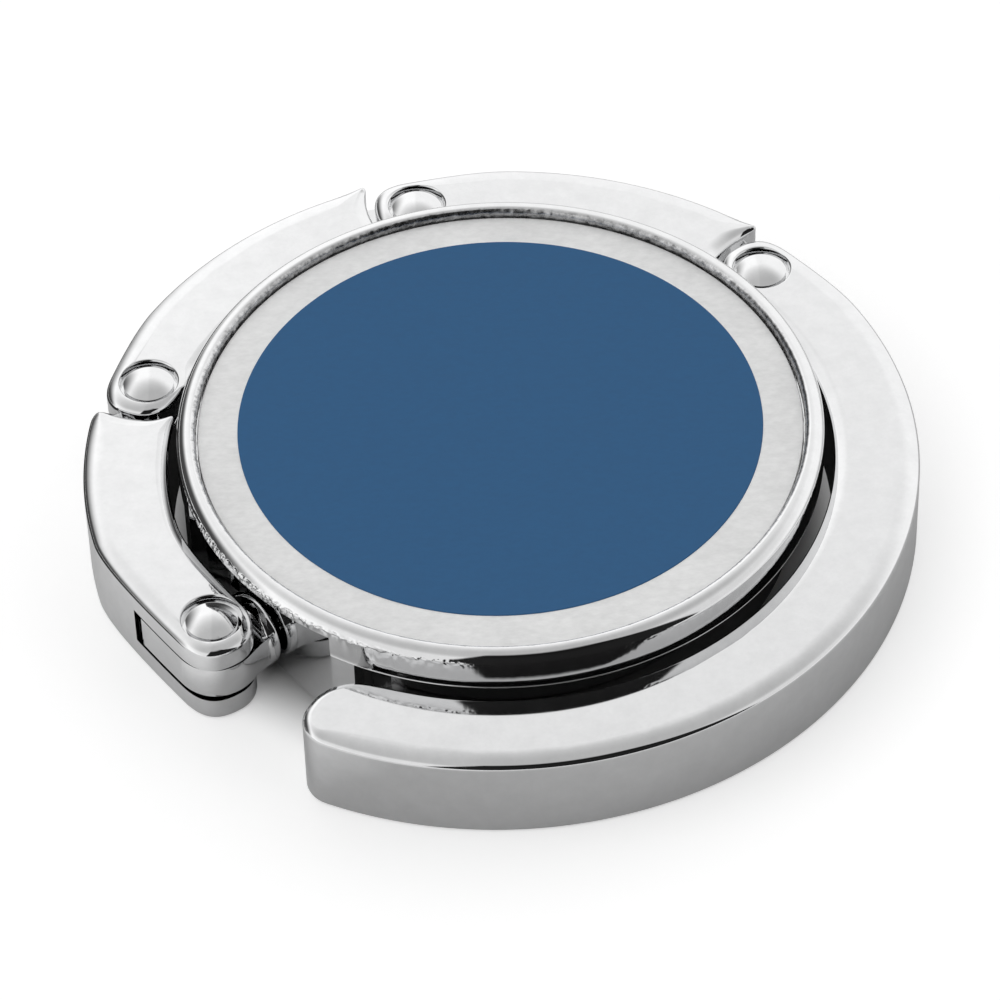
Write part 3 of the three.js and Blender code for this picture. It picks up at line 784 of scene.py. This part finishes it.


# Share of cast skin and painted shade: a ragged band of the slope inside the rim, next to the insert
def shadedSkinShare(tree):
    place = objectPlace(tree)
    reach = measure(tree, "LENGTH", vector(tree, "MULTIPLY", place, (1, 1, 0)))
    ragged = number(tree, "MULTIPLY_ADD", noiseOf(tree, *shadedSkin["pits"]), shadedSkin["ragged"], reach)
    height = split(tree, place)["Z"]
    return product(tree, ranged(tree, ragged, *shadedSkin["radii"]), ranged(tree, height, *shadedSkin["heights"]))


def platingMaterial(name, wave=1.0, withShadedSkin=False):
    material, tree, shader = newMaterial(name)
    wear = noiseOf(tree, *plating["wear"])
    colour = shades(tree, wear, plating["dark"], plating["light"])
    roughness = spread(tree, wear, *plating["roughness"])
    # Painted shade: the slope inside the rim takes a dark, rougher colour
    if withShadedSkin:
        share, pits = shadedSkinShare(tree), noiseOf(tree, *shadedSkin["pits"])
        colour = mixed(tree, share, colour, shades(tree, pits, shadedSkin["dark"], shadedSkin["light"]), "RGBA")
        roughness = mixed(tree, share, roughness, spread(tree, pits, *shadedSkin["roughness"]), "FLOAT")
    waves = raised(tree, noiseOf(tree, *plating["wave"]), plating["waveHeight"] * wave)
    relief = raised(tree, noiseOf(tree, *plating["peel"]), plating["peelHeight"], waves)
    fill(tree, shader, {"Base Color": colour, "Roughness": roughness, "Normal": relief, "Metallic": 1})
    return material


plainLook = {"grain": (1200, 5, 0.6), "broad": None, "height": 0.000004, "metallic": 0, "specular": 0.5}


# Material with one grain in its colour, roughness and relief; a broad noise can take over the roughness
def grainedMaterial(name, dark, light, roughness, **changes):
    look = {**plainLook, **changes}
    material, tree, shader = newMaterial(name)
    grain = noiseOf(tree, *look["grain"])
    broad = noiseOf(tree, *look["broad"]) if look["broad"] else grain
    fill(tree, shader, {
        "Base Color": shades(tree, grain, dark, light),
        "Roughness": spread(tree, broad, *roughness),
        "Normal": raised(tree, grain, look["height"]),
        "Metallic": look["metallic"],
        "Specular IOR Level": look["specular"],
    })
    return material


satinGrain = (2600, 4, 0.55, (0.75, 1.3, 1))
chrome = platingMaterial("polishedPlating")
discChrome = platingMaterial("discPlating", withShadedSkin=True)
rivetChrome = platingMaterial("rivetPlating", wave=0.4)
satin = grainedMaterial("satinInsert", (0.77, 0.772, 0.77), (0.86, 0.862, 0.86), (0.42, 0.62),
    grain=satinGrain, broad=(300, 3), metallic=0.35)
ink = grainedMaterial("blueInk", (0.034, 0.114, 0.248), (0.038, 0.124, 0.268), (0.55, 0.7),
    grain=satinGrain, height=plainLook["height"] / 6, specular=0.12)
rubber = grainedMaterial("padRubber", (0.012, 0.012, 0.013), (0.03, 0.03, 0.031), (0.75, 0.95), height=0.00002)
glue = grainedMaterial("clearGlue", (0.1, 0.098, 0.09), (0.17, 0.165, 0.15), (0.5, 0.75))
steel = grainedMaterial("washerSteel", (0.42, 0.42, 0.43), (0.55, 0.55, 0.56), (0.25, 0.4), metallic=1)
nickel = grainedMaterial("magnetNickel", (0.55, 0.54, 0.5), (0.66, 0.65, 0.61), (0.15, 0.3), metallic=1)
print("materials ready")


# Disc casting
disc = {
    "wall": 17.32,
    "wallSteps": 4,
    "top": 7.6,
    "base": 0.5,
    "chamfer": 0.3,
    "rimInner": 16.3,
    "rimInnerRound": 0.34,
    "rimSteps": 8,
    "rimOuterRound": 0.71,
    "rimOuterEnd": 24,
    "beadSteps": 14,
    "grooveWidth": 0.07,
    "grooveDepth": 0.035,
    "wallTop": 0.3,
    "underGroove": 0.25,
    "fineStep": 0.04,
    "wallBottom": 5.25,
    "flareStart": 5.65,
    "flare": 0.03,
    "flareSteps": 8,
    "flangeRound": 0.1,
    "flangeSteps": 6,
    "body": 15.8,
    "neckRound": 0.8,
    "neckSteps": 10,
    "insertFloor": 6.75,
    "cavityTop": 5.45,
    "cavity": 12.5,
    "padRecess": 14.5,
    "padRoof": 1.0,
    "steps": 1440,
    "edge": 0.06,
    "edgeAngle": 50,
    "sharpAngle": 40,
}

# Cast skin that the polish leaves: inside the rim all round, along the groove, and ragged on the front left
discRough = [dict(zip((*roughSizes, "Seed"), band)) for band in (
    (7.25, 0.33, 16.2, 16.72, 90.0, 400.0, 0.16, 4.2, 1),
    (7.04, 0.12, 17.0, 17.5, 270.0, 400.0, 0.035, 5.5, 2),
    (7.04, 0.22, 17.0, 17.6, 228.0, 36.0, 0.45, 3.4, 3),
)]


def discProfile():
    wall, bead, beadEnd = disc["wall"], disc["rimOuterRound"], math.radians(disc["rimOuterEnd"])
    rimOuter = (wall - bead * math.cos(beadEnd), disc["top"] - bead)
    grooveTop = rimOuter[1] + bead * math.sin(beadEnd)
    rimInner = (disc["rimInner"] + disc["rimInnerRound"], disc["top"] - disc["rimInnerRound"])
    flangeTop = disc["wallBottom"] + disc["flangeRound"]
    flange = (wall + disc["flare"] - disc["flangeRound"], flangeTop)
    neck = (disc["body"] + disc["neckRound"], disc["wallBottom"] - disc["neckRound"])
    low, wallRise = disc["flareStart"], grooveTop - disc["wallTop"] - disc["flareStart"]
    flare = [(wall + disc["flare"], flangeTop), (wall, flangeTop + disc["flare"]), (wall, low)]
    fineStart, seatDrop = grooveTop - disc["underGroove"], rimInner[1] - disc["insertFloor"]
    wallSteps, rimSteps = disc["wallSteps"], disc["rimSteps"]
    return [
        (0, disc["cavityTop"]),
        (disc["cavity"], disc["cavityTop"]),
        (disc["cavity"], disc["padRoof"]),
        (disc["padRecess"], disc["padRoof"]),
        (disc["padRecess"], disc["base"]),
        (disc["body"] - disc["chamfer"], disc["base"]),
        (disc["body"], disc["base"] + disc["chamfer"]),
        *arc(neck, disc["neckRound"], half, quarter, disc["neckSteps"]),
        *arc(flange, disc["flangeRound"], -quarter, 0, disc["flangeSteps"])[:-1],
        *bezier(flare, disc["flareSteps"]),
        *[(wall, low + wallRise * i / wallSteps) for i in range(1, wallSteps + 1)],
        *[(wall, fineStart + disc["fineStep"] * i) for i in range(wallSteps)],
        (wall, grooveTop - disc["grooveWidth"]),
        (wall - disc["grooveDepth"], grooveTop - disc["grooveWidth"] / 2),
        *arc(rimOuter, bead, disc["rimOuterEnd"], quarter, disc["beadSteps"]),
        *arc(rimInner, disc["rimInnerRound"], quarter, half, rimSteps),
        *[(disc["rimInner"], rimInner[1] - seatDrop * i / rimSteps) for i in range(1, rimSteps + 1)],
        (0, disc["insertFloor"]),
    ]


lug = {
    "halfAngle": 25.5,
    "corner": 1.0,
    "cornerSteps": 10,
    "innerSteps": 24,
    "wallSteps": 60,
    "flat": 16.2,
    "flatTop": 6.65,
    "seat": 12.9,
    "bore": 1.1,
    "boreSteps": 48,
    "spotFace": 1.5,
    "spotDepth": 2.0,
    "magnetAngle": -121.5,
    "magnetBore": 1.05,
    "magnetEnd": 16.4,
}


def lugBlock():
    start, end = swivelAngle - lug["halfAngle"], swivelAngle + lug["halfAngle"]
    spread = math.degrees(math.asin(lug["corner"] / disc["body"]))
    inner = (disc["cavity"] + disc["body"]) / 2
    points = arc((0, 0), inner, end + 2 * spread, start - 2 * spread, lug["innerSteps"])
    points += bezier([
        polar(disc["body"], start - 2 * spread),
        polar(disc["body"], start),
        polar(disc["body"] + lug["corner"], start),
    ], lug["cornerSteps"])
    points += arc((0, 0), disc["wall"] + disc["flare"] / 2, start, end, lug["wallSteps"])
    points += bezier([
        polar(disc["body"] + lug["corner"], end),
        polar(disc["body"], end),
        polar(disc["body"], end + 2 * spread),
    ], lug["cornerSteps"])
    return plainBlock("lugBlock", points, disc["base"], disc["wallBottom"] + disc["flangeRound"])


def flatCutter():
    far = disc["wall"] + link["overrun"]
    wide = disc["wall"]
    points = [(lug["flat"], -wide), (far, -wide), (far, wide), (lug["flat"], wide)]
    block = plainBlock("flatCutter", points, -link["overrun"], lug["flatTop"])
    block.data.transform(Matrix.Rotation(math.radians(swivelAngle), 4, "Z"))
    return block


def rod(name, angle, radius, start, end):
    return turnedAlong(name, angle, [(0, start), (radius, start), (radius, end), (0, end)], lug["boreSteps"])


# Beads of metal along the groove, left by the casting; their sizes and heights swing from one to the next
beads = {
    "count": 8,
    "start": 203.5,
    "step": 1.2,
    "radius": 17.3,
    "height": 7.12,
    "heightSwing": 0.04,
    "heightTurn": 3,
    "size": 0.15,
    "sizeSwing": 0.035,
    "sizeTurn": 5,
    "arcSteps": 12,
    "steps": 20,
}


def castBeads():
    made = []
    for i in range(beads["count"]):
        size = beads["size"] + beads["sizeSwing"] * math.sin(beads["sizeTurn"] * i)
        height = beads["height"] + beads["heightSwing"] * math.cos(beads["heightTurn"] * i)
        spot = polar(beads["radius"], beads["start"] + beads["step"] * i)
        profile = arc((0, 0), size, -quarter, quarter, beads["arcSteps"])
        profile[0], profile[-1] = (0, -size), (0, size)
        made.append(turned("bead", profile, beads["steps"], (*spot, height)))
    return made


def makeDisc():
    body = roughened(turned("discShell", discProfile(), disc["steps"]), discRough)
    carve(body, [lugBlock(), *castBeads()], "UNION")
    past = link["overrun"]
    carve(body, [
        flatCutter(),
        cylinder("padCut", (0, 0), disc["padRecess"], -past, disc["padRoof"], disc["steps"]),
        cylinder("cavityCut", (0, 0), disc["cavity"], 0, disc["cavityTop"], disc["steps"]),
        rod("boreCut", swivelAngle, lug["bore"], lug["seat"] - past, disc["wall"] + past),
        rod("seatCut", swivelAngle, lug["spotFace"], lug["seat"] - lug["spotDepth"], lug["seat"]),
        rod("magnetCut", lug["magnetAngle"], lug["magnetBore"], disc["cavity"] - past, lug["magnetEnd"]),
    ])

    def onLug(spot):
        return spot.xy.length > disc["body"] - disc["chamfer"] and spot.z < disc["wallBottom"]

    softened(body, disc["edge"], disc["edgeAngle"], chosen=onLug)
    return fitted(body, "disc", ["disc_body"], discChrome, disc["sharpAngle"])


makeDisc()

insert = {
    "radius": 16.22,
    "bottom": 6.8,
    "top": 7.1,
    "round": 0.06,
    "roundSteps": 4,
    "steps": 360,
    "print": 14.07,
    "printTop": 7.15,
    "printShift": 0.15,
    "printSteps": 3,
}


def makeInsert():
    radius, bottom, top, edge = insert["radius"], insert["bottom"], insert["top"], insert["round"]
    corner = arc((radius - edge, top - edge), edge, 0, quarter, insert["roundSteps"])
    plate = turned("insertPlate", [(0, bottom), (radius, bottom), *corner, (0, top)], insert["steps"])
    fitted(plate, "disc", ["insert_plate"], satin)
    edge = insert["printTop"] - top
    corner = arc((insert["print"] - edge, top), edge, 0, quarter, insert["printSteps"])
    profile = [(0, top), *corner, (0, insert["printTop"])]
    printed = turned("bluePrint", profile, insert["steps"], (0, insert["printShift"], 0))
    fitted(printed, "disc", ["print_layer"], ink)


makeInsert()


# Links and hook arm

def slotMouth(place, far):
    reach = link["shoulder"]
    return [beside(place, a, b) for a, b in ((-reach, 0), (reach, 0), (reach, far), (-reach, far))]


# Stop in the first link's slot, on the knuckle's bar
heel = {"reach": 4.15, "gap": 0.55, "inner": 0.75, "stopGap": 0.1, "travel": 40}


def pinHole(name, place):
    past = link["overrun"]
    return cylinder(name, place["centre"], link["hole"], -past, ring["thickness"] + past, link["pinSteps"])


def forkCutters(place):
    past, top = link["overrun"], ring["thickness"]
    gap = link["firstSlotGap"] if place is firstHinge else link["slotGap"]
    cutters = [
        cylinder("slotRound", place["centre"], link["tongueRadius"] + gap, link["slotBottom"], link["slotTop"]),
        plainBlock("slotMouth", slotMouth(place, link["shoulder"] + past), link["slotBottom"], link["slotTop"]),
        pinHole("pinHole", place),
    ]
    lip, deep = link["recessLip"], link["recessDepth"]
    upper = [(0, top + past), (link["recess"] + lip, top + past), (link["recess"] + lip, top)]
    upper += arc((link["recess"] + lip, top - lip), lip, quarter, half, link["lipSteps"])[1:]
    upper += [(link["recess"], top - deep), (0, top - deep)]
    lower = [(r, top - z) for r, z in upper]
    for name, profile in (("topRecess", upper), ("tailRecess", lower)):
        cutters.append(turned(name, profile, link["recessSteps"], (*place["centre"], 0)))
    return cutters


def heelPocket():
    place = firstHinge
    face, far = heel["inner"] - heel["stopGap"], 2 * heel["reach"]
    reach, bottom, top = heel["reach"] + heel["gap"], link["slotBottom"], link["slotTop"]
    pocket = cylinder("heelPocket", place["centre"], reach, bottom, top, link["pocketSteps"])
    swung = [(face, far), (face, -far), (far, -far), (far, far)]
    block = plainBlock(
        "heelSwing",
        [beside(place, a, b, -heel["travel"]) for a, b in swung],
        bottom - link["overrun"],
        top + link["overrun"],
    )
    return carve(pocket, [block], "INTERSECT")


def tongueBlock(place):
    length = link["shoulder"] + link["tongueOverlap"]
    radius, angle, bottom, top = link["tongueRadius"], place["angle"], link["tongueBottom"], link["tongueTop"]
    points = arc(place["centre"], radius, angle, angle - half, link["noseSteps"])
    points += [beside(place, -radius, length), beside(place, radius, length)]
    return rolledBlock("tongue", drawn("tongue", points), bottom, top, link["tongueRollSteps"])


def makeLink(name, outline, fork, joined, body, cadNode):
    made = rolledBlock(name, outline, 0, ring["thickness"])
    carve(made, forkCutters(fork))
    if fork is firstHinge:
        carve(made, [heelPocket()])
    if joined is not None:
        carve(made, [tongueBlock(joined)], "UNION")
        carve(made, [pinHole("tongueHole", joined)])
    else:
        start = ring["inner"] - link["overrun"]
        carve(made, [rod("tipPocket", hook["pocketAngle"], hook["pocket"], start, hook["pocketEnd"])])
    softened(made, link["edge"])
    return fitted(made, body, [cadNode], chrome)


linkPlaces = [
    ("linkOne", firstHinge, secondHinge, "link_a", "link_1"),
    ("linkTwo", secondHinge, thirdHinge, "link_b", "link_2"),
    ("linkThree", thirdHinge, fourthHinge, "link_c", "link_3"),
]
for name, fork, joined, body, cadNode in linkPlaces:
    makeLink(name, linkOutline(fork, joined), fork, joined, body, cadNode)
makeLink("hookArm", hookOutline(), fourthHinge, None, "hook", "hook_arm")
print("ring ready")


# Rivets
rivet = {
    "head": 1.38,
    "shank": 0.85,
    "seat": 4.75,
    "side": 0.3,
    "dome": 0.36,
    "domeSteps": 14,
    "tail": 0.05,
    "steps": 96,
}


def domeProfile(radius, edge, rise):
    sphere = (radius ** 2 + rise ** 2) / (2 * abs(rise))
    lean, up, steps = math.asin(radius / sphere), math.copysign(1, rise), rivet["domeSteps"]
    turns = [lean * (1 - i / steps) for i in range(steps + 1)]
    return [(sphere * math.sin(a), edge + rise - up * sphere * (1 - math.cos(a))) for a in turns]


def rivetProfile():
    head, shank, seat, side = rivet["head"], rivet["shank"], rivet["seat"], rivet["side"]
    tailSeat = ring["thickness"] - seat
    return [
        *domeProfile(head, tailSeat - side, -rivet["tail"])[::-1],
        (head, tailSeat),
        (shank, tailSeat),
        (shank, seat),
        (head, seat),
        *domeProfile(head, seat + side, rivet["dome"]),
    ]


rivetPlaces = [
    ("rivetOne", firstHinge, "link_a", "rivet_1"),
    ("rivetTwo", secondHinge, "link_b", "rivet_2"),
    ("rivetThree", thirdHinge, "link_c", "rivet_3"),
    ("rivetFour", fourthHinge, "hook", "rivet_4"),
]
for name, place, body, cadNode in rivetPlaces:
    made = turned(name, rivetProfile(), rivet["steps"], (*place["centre"], 0))
    fitted(made, body, [cadNode], rivetChrome)


# Swivel knuckle
knuckle = {
    "barrel": 2.1,
    "face": 16.4,
    "length": 0.75,
    "round": 0.25,
    "spindle": 1.0,
    "head": 1.35,
    "headTop": 12.34,
    "headDeep": 0.5,
    "clear": 2.55,
    "root": 1.85,
    "back": 1.35,
    "corner": 0.6,
    "inset": 0.02,
    "edge": 0.12,
    "steps": 96,
    "roundSteps": 4,
    "curveSteps": (12, 16, 20),
    "barBottom": 1.64,
    "barTop": 3.62,
}


def kneeOutline():
    place = firstHinge
    root = knuckle["face"] + knuckle["round"] - ring["firstPivotRadius"]
    reach, outer = link["earReach"] - knuckle["inset"], link["earOuter"] - knuckle["inset"]
    ringAngle = place["angle"] - place["blend"]
    ringPoint = polar(ring["outer"] - knuckle["inset"], ringAngle)
    side = beside(place, outer, 0)
    control = crossing(side, place["angle"] - quarter, ringPoint, ringAngle - quarter)
    neckSteps, endSteps, sideSteps = knuckle["curveSteps"]
    points = bezier([
        beside(place, root, knuckle["root"]),
        beside(place, root / 2, knuckle["root"]),
        beside(place, root / 3, reach),
        beside(place, 0, reach),
    ], neckSteps)[:-1]
    points += bezier([
        beside(place, 0, reach),
        beside(place, outer * knuckle["corner"], reach),
        beside(place, outer, reach * knuckle["corner"]),
        side,
    ], endSteps)[:-1]
    points += bezier([side, control, ringPoint], sideSteps)
    return points + [
        beside(place, heel["inner"], -2 * heel["reach"]),
        beside(place, heel["inner"], -knuckle["back"]),
        beside(place, root, -knuckle["back"]),
    ]


def makeKnuckle():
    place = firstHinge
    face, end, edge = knuckle["face"], knuckle["face"] + knuckle["length"], knuckle["round"]
    top, deep, core = knuckle["headTop"], knuckle["headDeep"], knuckle["barrel"] - knuckle["round"]
    profile = [
        (0, top - deep),
        (knuckle["spindle"], top - deep),
        (knuckle["head"], top - deep / 2),
        (knuckle["head"], top),
        (knuckle["spindle"], top),
        (knuckle["spindle"], face),
        *arc((core, face + edge), edge, -quarter, 0, knuckle["roundSteps"]),
        *arc((core, end - edge), edge, 0, quarter, knuckle["roundSteps"]),
        (0, end),
    ]
    made = turnedAlong("swivelKnuckle", swivelAngle, profile, knuckle["steps"])
    past, top = link["overrun"], ring["thickness"]
    carve(made, [
        cylinder("upperEar", place["centre"], knuckle["clear"], link["tongueTop"], top + past),
        cylinder("lowerEar", place["centre"], knuckle["clear"], -past, link["tongueBottom"]),
    ])
    bar = plainBlock("kneeBar", kneeOutline(), knuckle["barBottom"], knuckle["barTop"])
    reach = cylinder("kneeReach", place["centre"], heel["reach"], -past, top + past, link["pocketSteps"])
    carve(bar, [reach], "INTERSECT")
    carve(made, [bar], "UNION")
    carve(made, [pinHole("kneeHole", place)])
    softened(made, knuckle["edge"])
    return fitted(made, "knuckle", ["swivel_knuckle"], chrome)


makeKnuckle()
print("knuckle ready")

# Solids that keep their frame shape
keptFinishes = {
    "insert_adhesive": glue,
    "anti_slip_pad": rubber,
    "pad_adhesive": glue,
    "swivel_washer": steel,
    "lug_magnet": nickel,
    "tip_magnet": nickel,
}
for nodeName, finish in keptFinishes.items():
    nodes[nodeName].data.materials.clear()
    nodes[nodeName].data.materials.append(finish)

# Floor, light tent and camera
studio = {
    "floorHalf": 1.5,
    "floorColour": (0.68, 0.68, 0.68, 1),
    "floorRoughness": 0.9,
    "floorSpecular": 0.1,
    "floorLift": 0.5,
    # Painted shade: the floor's dark colour under the closed ring for all but camera rays, and its cut-out by the
    # lug
    "paintedShadeColour": (0.1, 0.1, 0.1, 1),
    "paintedShadeReach": (0.0183, 0.0188),
    "paintedShadeNotchReach": (0.0154, 0.0158),
    # Painted contact shadow: where the camera's lift to white fades in round the disc
    "paintedShadowFadeReach": (0.0162, 0.0202),
    "liftReach": (0.035, 0.09),
    # Painted glow on the left, seen only in the metal's reflections
    "leftGlowAzimuth": 214,
    "leftGlowReach": (0.0205, 0.0255, 0, 0.6),
    "lampPlace": (-0.3, -0.15, 0.5),
    "lampSize": (0.6, 0.4),
    "lampWatts": 0.5,
}


# Level sheet between two limits of x and of y
def stagePiece(name, x, y, height, material):
    corners = [(x[0], y[0], height), (x[1], y[0], height), (x[1], y[1], height), (x[0], y[1], height)]
    made = meshObject(name, corners, [(0, 1, 2, 3)])
    made.data.materials.append(material)
    return made


# Pale floor. Other rays find it painted dark under the closed ring, but for a cut-out by the lug: painted shade
# for the gap and the metal's reflections.
# The metal sees it lifted further out, and nearer on the left as a painted glow in its reflections. The camera
# sees it plain, lifted to white all round the disc, with the lift faded next to the disc as a painted contact
# shadow.
def makeFloor():
    material, tree, shader = newMaterial("paleFloor")
    rays = node(tree, "ShaderNodeLightPath").outputs
    camera, glossy = rays["Is Camera Ray"], rays["Is Glossy Ray"]
    place = objectPlace(tree)
    reach = measure(tree, "LENGTH", place)

    def larger(first, second):
        return number(tree, "MAXIMUM", first, second)

    def onward(azimuth):
        return measure(tree, "DOT_PRODUCT", place, (*polar(1, azimuth), 0))

    # Painted shade under the closed ring, cut back in front of the lug's flat
    paintedShadeNotch = ranged(tree, onward(swivelAngle), *studio["paintedShadeNotchReach"])
    clearOfPaintedShade = larger(ranged(tree, reach, *studio["paintedShadeReach"]), paintedShadeNotch)
    # Painted contact shadow: the camera's lift fades out next to the disc
    paintedShadowFade = ranged(tree, reach, *studio["paintedShadowFadeReach"], kind="SMOOTHSTEP")
    # Painted glow on the left for the metal's reflections
    left = ranged(tree, onward(studio["leftGlowAzimuth"]), *studio["leftGlowReach"])
    bright = larger(ranged(tree, reach, *studio["liftReach"]), left)
    seen = larger(camera, product(tree, glossy, bright))
    shown = product(tree, seen, mixed(tree, camera, clearOfPaintedShade, paintedShadowFade, "FLOAT"))
    fill(tree, shader, {
        "Base Color": mixed(tree, larger(clearOfPaintedShade, camera), studio["paintedShadeColour"], studio["floorColour"], "RGBA"),
        "Roughness": studio["floorRoughness"],
        "Specular IOR Level": studio["floorSpecular"],
        "Emission Color": (1, 1, 1, 1),
        "Emission Strength": product(tree, shown, studio["floorLift"]),
    })
    size = studio["floorHalf"]
    stagePiece("tableFloor", (-size, size), (-size, size), 0, material)


# Dark card that lies left of the picture, seen only in the metal's reflections: a painted dark reflection for the
# metal's left edges
card = {"x": (-0.12, -0.026), "y": (-0.015, 0.09), "height": 0.0003, "colour": (0.02, 0.02, 0.02, 1)}


def makeCard():
    material, tree, shader = newMaterial("paintedReflectionBlack")
    fill(tree, shader, {"Base Color": card["colour"], "Roughness": 1})
    made = stagePiece("paintedReflectionCard", card["x"], card["y"], card["height"], material)
    # Hidden from the camera, from diffuse light and from shadows, it only paints a dark reflection
    made.visible_camera = made.visible_diffuse = made.visible_shadow = False


# The tent as the world shows it: brighter low down and on the left, with soft dark patches, and open on one side
tent = {
    "foot": (0.6, 1.2),
    "roof": (0.92, 0.8),
    "left": (-0.09, 0, 1.1, 1),
    "patches": [(150, 2, 48, 20, 0.06), (-70, 42, 84, 50, 0.74)],
    "opening": -70,
    "openingHalf": (35.5, 32),
    "openingTop": (0.91, 0.985),
    "openingShade": 0.02,
    "flare": 0.08,
    "flareHeight": 0.74,
}


def heading(azimuth, elevation):
    level = math.cos(math.radians(elevation))
    return (*polar(level, azimuth), math.sin(math.radians(elevation)))


def cosines(*angles):
    return [math.cos(math.radians(a)) for a in angles]


def makeWorld():
    world = bpy.data.worlds.new("tentWorld")
    world.use_nodes = True
    tree = world.node_tree
    direction = node(tree, "ShaderNodeTexCoord").outputs["Generated"]
    parts = split(tree, direction)

    def step(value, *limits):
        return ranged(tree, value, *limits, kind="SMOOTHSTEP")

    (low, footLight), (high, roofLight) = tent["foot"], tent["roof"]
    wall = step(parts["Z"], low, high, footLight, roofLight)
    wall = product(tree, wall, step(parts["X"], *tent["left"]))
    for azimuth, elevation, far, near, shade in tent["patches"]:
        across = measure(tree, "DOT_PRODUCT", direction, heading(azimuth, elevation))
        wall = product(tree, wall, step(across, *cosines(far, near), 1, shade))
    level = vector(tree, "NORMALIZE", vector(tree, "MULTIPLY", direction, (1, 1, 0)))
    across = measure(tree, "DOT_PRODUCT", level, heading(tent["opening"], 0))
    flare = tent["flare"]
    widened = number(tree, "MULTIPLY_ADD", parts["Z"], -flare, across)
    reach = [cosine - flare * tent["flareHeight"] for cosine in cosines(*tent["openingHalf"])]
    sides = step(widened, *reach, 1, tent["openingShade"])
    above = step(parts["Z"], *tent["openingTop"], 0, 1)
    wall = product(tree, wall, number(tree, "MAXIMUM", sides, above))
    fill(tree, tree.nodes["Background"], {"Color": (1, 1, 1, 1), "Strength": wall})
    scene.world = world


def makeLamp():
    lamp = bpy.data.lights.new("tentLamp", "AREA")
    lamp.shape = "RECTANGLE"
    lamp.size, lamp.size_y = studio["lampSize"]
    lamp.energy = studio["lampWatts"]
    made = newObject("tentLamp", lamp)
    made.location = studio["lampPlace"]
    made.rotation_euler = (-Vector(studio["lampPlace"])).to_track_quat("-Z", "Y").to_euler()
    made.visible_glossy = False


# The photograph's camera, its aim's height, and the middle of the view in the picture's pixels
view = {
    "lens": 180,
    "sensor": 36,
    "clip": (0.01, 10),
    "elevation": 45.85,
    "roll": 1.729,
    "distance": 0.270502,
    "aim": 0.003,
    "centre": (501.77, 477.54),
    "frame": 1000,
}


def makeCamera():
    elevation, roll = math.radians(view["elevation"]), math.radians(view["roll"])
    ahead = Vector((0, math.cos(elevation), -math.sin(elevation)))
    right, up = Vector((1, 0, 0)), Vector((0, math.sin(elevation), math.cos(elevation)))
    across = right * math.cos(roll) - up * math.sin(roll)
    above = right * math.sin(roll) + up * math.cos(roll)
    camera = bpy.data.cameras.new("photoCamera")
    camera.sensor_width, camera.lens = view["sensor"], view["lens"]
    camera.clip_start, camera.clip_end = view["clip"]
    camera.shift_x = (view["frame"] / 2 - view["centre"][0]) / view["frame"]
    camera.shift_y = (view["centre"][1] - view["frame"] / 2) / view["frame"]
    made = newObject("photoCamera", camera)
    placed = Matrix((across, above, -ahead)).transposed().to_4x4()
    placed.translation = Vector((0, 0, view["aim"])) - ahead * view["distance"]
    made.matrix_world = placed
    scene.camera = made


makeFloor()
makeCard()
makeWorld()
makeLamp()
makeCamera()
scene.view_settings.view_transform = "Standard"
print("studio ready")
